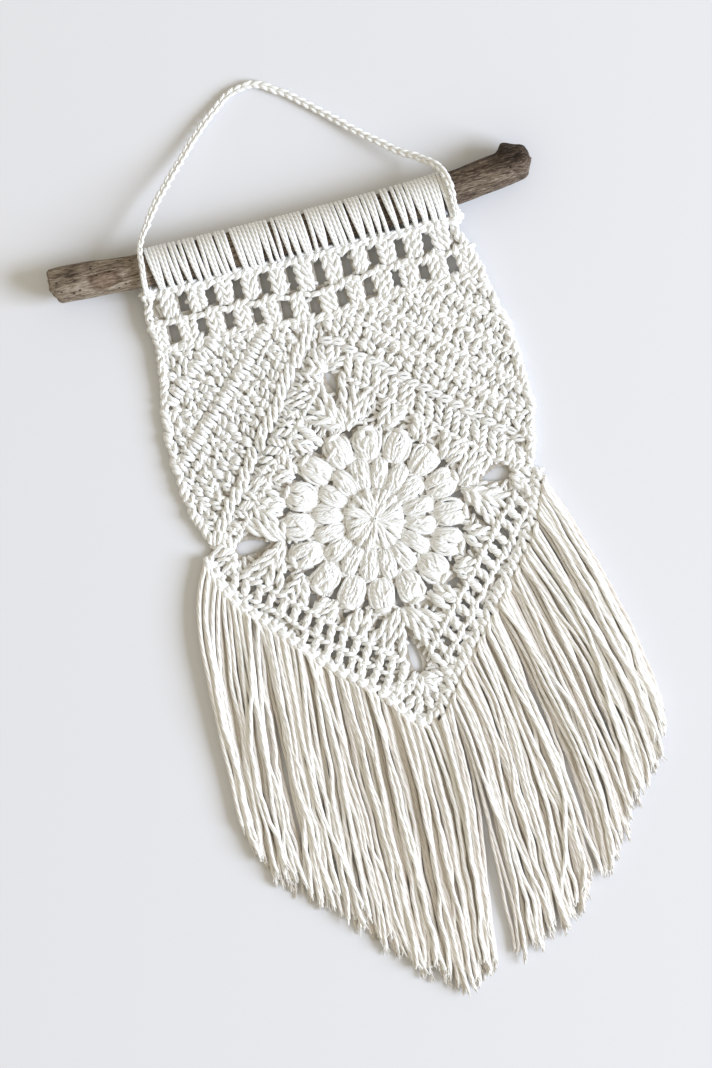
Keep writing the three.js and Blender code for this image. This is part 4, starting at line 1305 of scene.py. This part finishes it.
def hem_knots():
    """The bars of the knots on the left edge, and the lumpy last row on the right, darkened as painted shade.
    """
    strands = []
    for knot in range(FRINGE_KNOTS):
        root, along, out = hem_at(LEFT_HEM, (knot + 0.5) / FRINGE_KNOTS, 1)
        for bar in FRINGE_BARS:
            loop = [(*(root + along * a + out * b + jitter(0.4)), up) for a, b, up in bar]
            strands.append((np.array(loop), draw.uniform(3, 3.8), shade()))
    last_row = smooth(RIGHT_HEM, 6)
    # Painted shade: the last row under the arched ends is drawn darker.
    strands += heads(level_line(last_row, 4), pitch=4.4, thick=3.3, slant=0.6, light=0.7)
    behind = level_line(last_row + (-1.2, 1.2), 3.2)
    return strands + heads(behind, pitch=4.8, thick=2.8, slant=-0.4)


def fringe(table, hem, hand):
    """Ends of yarn from the knots along one lower edge; the knots show their front on the left edge."""
    shares, end_xs, end_ys, curls, leans = np.array(table).T
    share = np.linspace(0, 1, 31)
    along_run = np.sin(np.pi * share**0.8)

    def waves(size, beats):
        return size * np.sin(2 * np.pi * (draw.uniform(*beats) * share + draw.uniform())) * np.sqrt(share)

    strands = []
    for knot in range(FRINGE_KNOTS):
        root, along, out = hem_at(hem, (knot + 0.5) / FRINGE_KNOTS, hand)
        loose = min(1, 0.15 + knot / 6, 0.3 + (FRINGE_KNOTS - 1 - knot) / 4)
        if knot % 2 == 0:
            middle = (knot + 1) / FRINGE_KNOTS
            drift, gather = draw.normal(0, 0.025) * loose, draw.uniform(0, 0.6)
        for lock in (0, 1):
            shift, bow, sway = draw.normal(0, (0.028 * loose, 2.4 * loose, 2.6 * loose))
            wave = waves(sway, (0.7, 1.3)) + waves(draw.uniform(0.2, 1), (2.5, 5))
            lift = draw.uniform(0, 2.6) * along_run**2
            for aside, height in FRINGE_ENDS[lock::2]:
                at = (knot + 0.5 + aside * FRINGE_SPREAD) / FRINGE_KNOTS
                free = min(1, 0.1 + height)
                to = at + free * (shift + drift + gather * (middle - at) + draw.normal(0, 0.02))
                root_x, root_y = hem_at(hem, at, hand)[0]
                turned = 1 - (1 - share) ** np.interp(at, shares, curls)
                lean = np.interp(at, shares, leans)
                end_x, end_y = np.interp(to, shares, end_xs), np.interp(to, shares, end_ys)
                height += draw.normal(0, 0.12)
                ripple = waves(draw.uniform(0.3, 1.5), (0.8, 2))
                kinks = waves(draw.uniform(0.1, 0.6), (4, 9))
                x = root_x + (end_x - root_x) * turned + wave * free + ripple * loose + kinks
                x += (lean + bow * free + draw.normal(0, 1.2) * loose) * along_run
                y = root_y + (end_y + draw.uniform(-5, 9) - root_y) * share
                z = FRINGE_YARN / 2 + FRINGE_DEPTH * height + 0.4 * ripple + 0.5 * kinks
                z += lift * free + 1.2 * height * (1 - share) ** 6
                spot = root + along * aside * 0.6
                if hand > 0:
                    start = [(*(spot + out * far), up + up * height) for far, up in FRONT_RISE]
                else:
                    start = [(*(spot + out * far), up * (0.5 + 0.5 * height)) for far, up in BACK_RISE]
                body = np.vstack([start, np.column_stack([x, y, z])[1:]])
                # Painted shade: lower ends, and ends towards the tip, are drawn darker, with some random
                # tone.
                tone_and_shade = np.clip(0.85 * height + draw.normal(0, 0.2) - 0.28 * at**2, 0, 1)
                strands.append((body, FRINGE_YARN * draw.uniform(0.84, 1.08), tone_and_shade))
                way = body[-1] - body[-2]
                strands += frayed(body[-1], way / np.linalg.norm(way), tone_and_shade)
    return strands


hem_yarn = spin("hem_yarn", hem_knots(), stitch_cotton)
stitches.append(hem_yarn)
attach(hem_yarn, "root")
for name, hem, hand in (("left", LEFT_HEM, 1), ("right", RIGHT_HEM, -1)):
    strands = fringe(FRINGE[name], hem, hand)
    piece = spin(f"fringe_{name}_yarn", strands, fringe_cotton, step=3.4, sides=7)
    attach(piece, "root")
    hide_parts(f"fringe_{name}")

# Floor and light
# A pale, faintly cool floor, with a broad soft window on the right and even light from all round.
FLOOR_HALF = 3
FLOOR_COLOUR = (0.753, 0.75, 0.762, 1)
WINDOW = dict(at=(5.2, -2, 3.2), size=3.4, power=490, colour=(0.873, 0.976, 1.176))
SKY = 0.585
SKY_COLOUR = (1, 0.935, 0.78, 1)

floor_mesh = bpy.data.meshes.new("floor")
floor_corners = [(FLOOR_HALF * x, FLOOR_HALF * y, 0) for x, y in ((-1, -1), (1, -1), (1, 1), (-1, 1))]
floor_mesh.from_pydata(floor_corners, [], [(0, 1, 2, 3)])
floor = put("floor", floor_mesh)
floor_mesh.materials.append(material("floor", Base_Color=FLOOR_COLOUR, Roughness=0.7)[0])

glow = bpy.data.lights.new("window", "AREA")
glow.size = WINDOW["size"]
glow.energy = WINDOW["power"]
glow.color = WINDOW["colour"]
window = put("window", glow)
window.location = WINDOW["at"]
window.rotation_euler = (-Vector(WINDOW["at"])).to_track_quat("-Z", "Y").to_euler()

world = bpy.data.worlds.new("studio")
world.use_nodes = True
world.node_tree.nodes["Background"].inputs["Color"].default_value = SKY_COLOUR
world.node_tree.nodes["Background"].inputs["Strength"].default_value = SKY
bpy.context.scene.world = world
bpy.context.scene.view_settings.view_transform = "Standard"
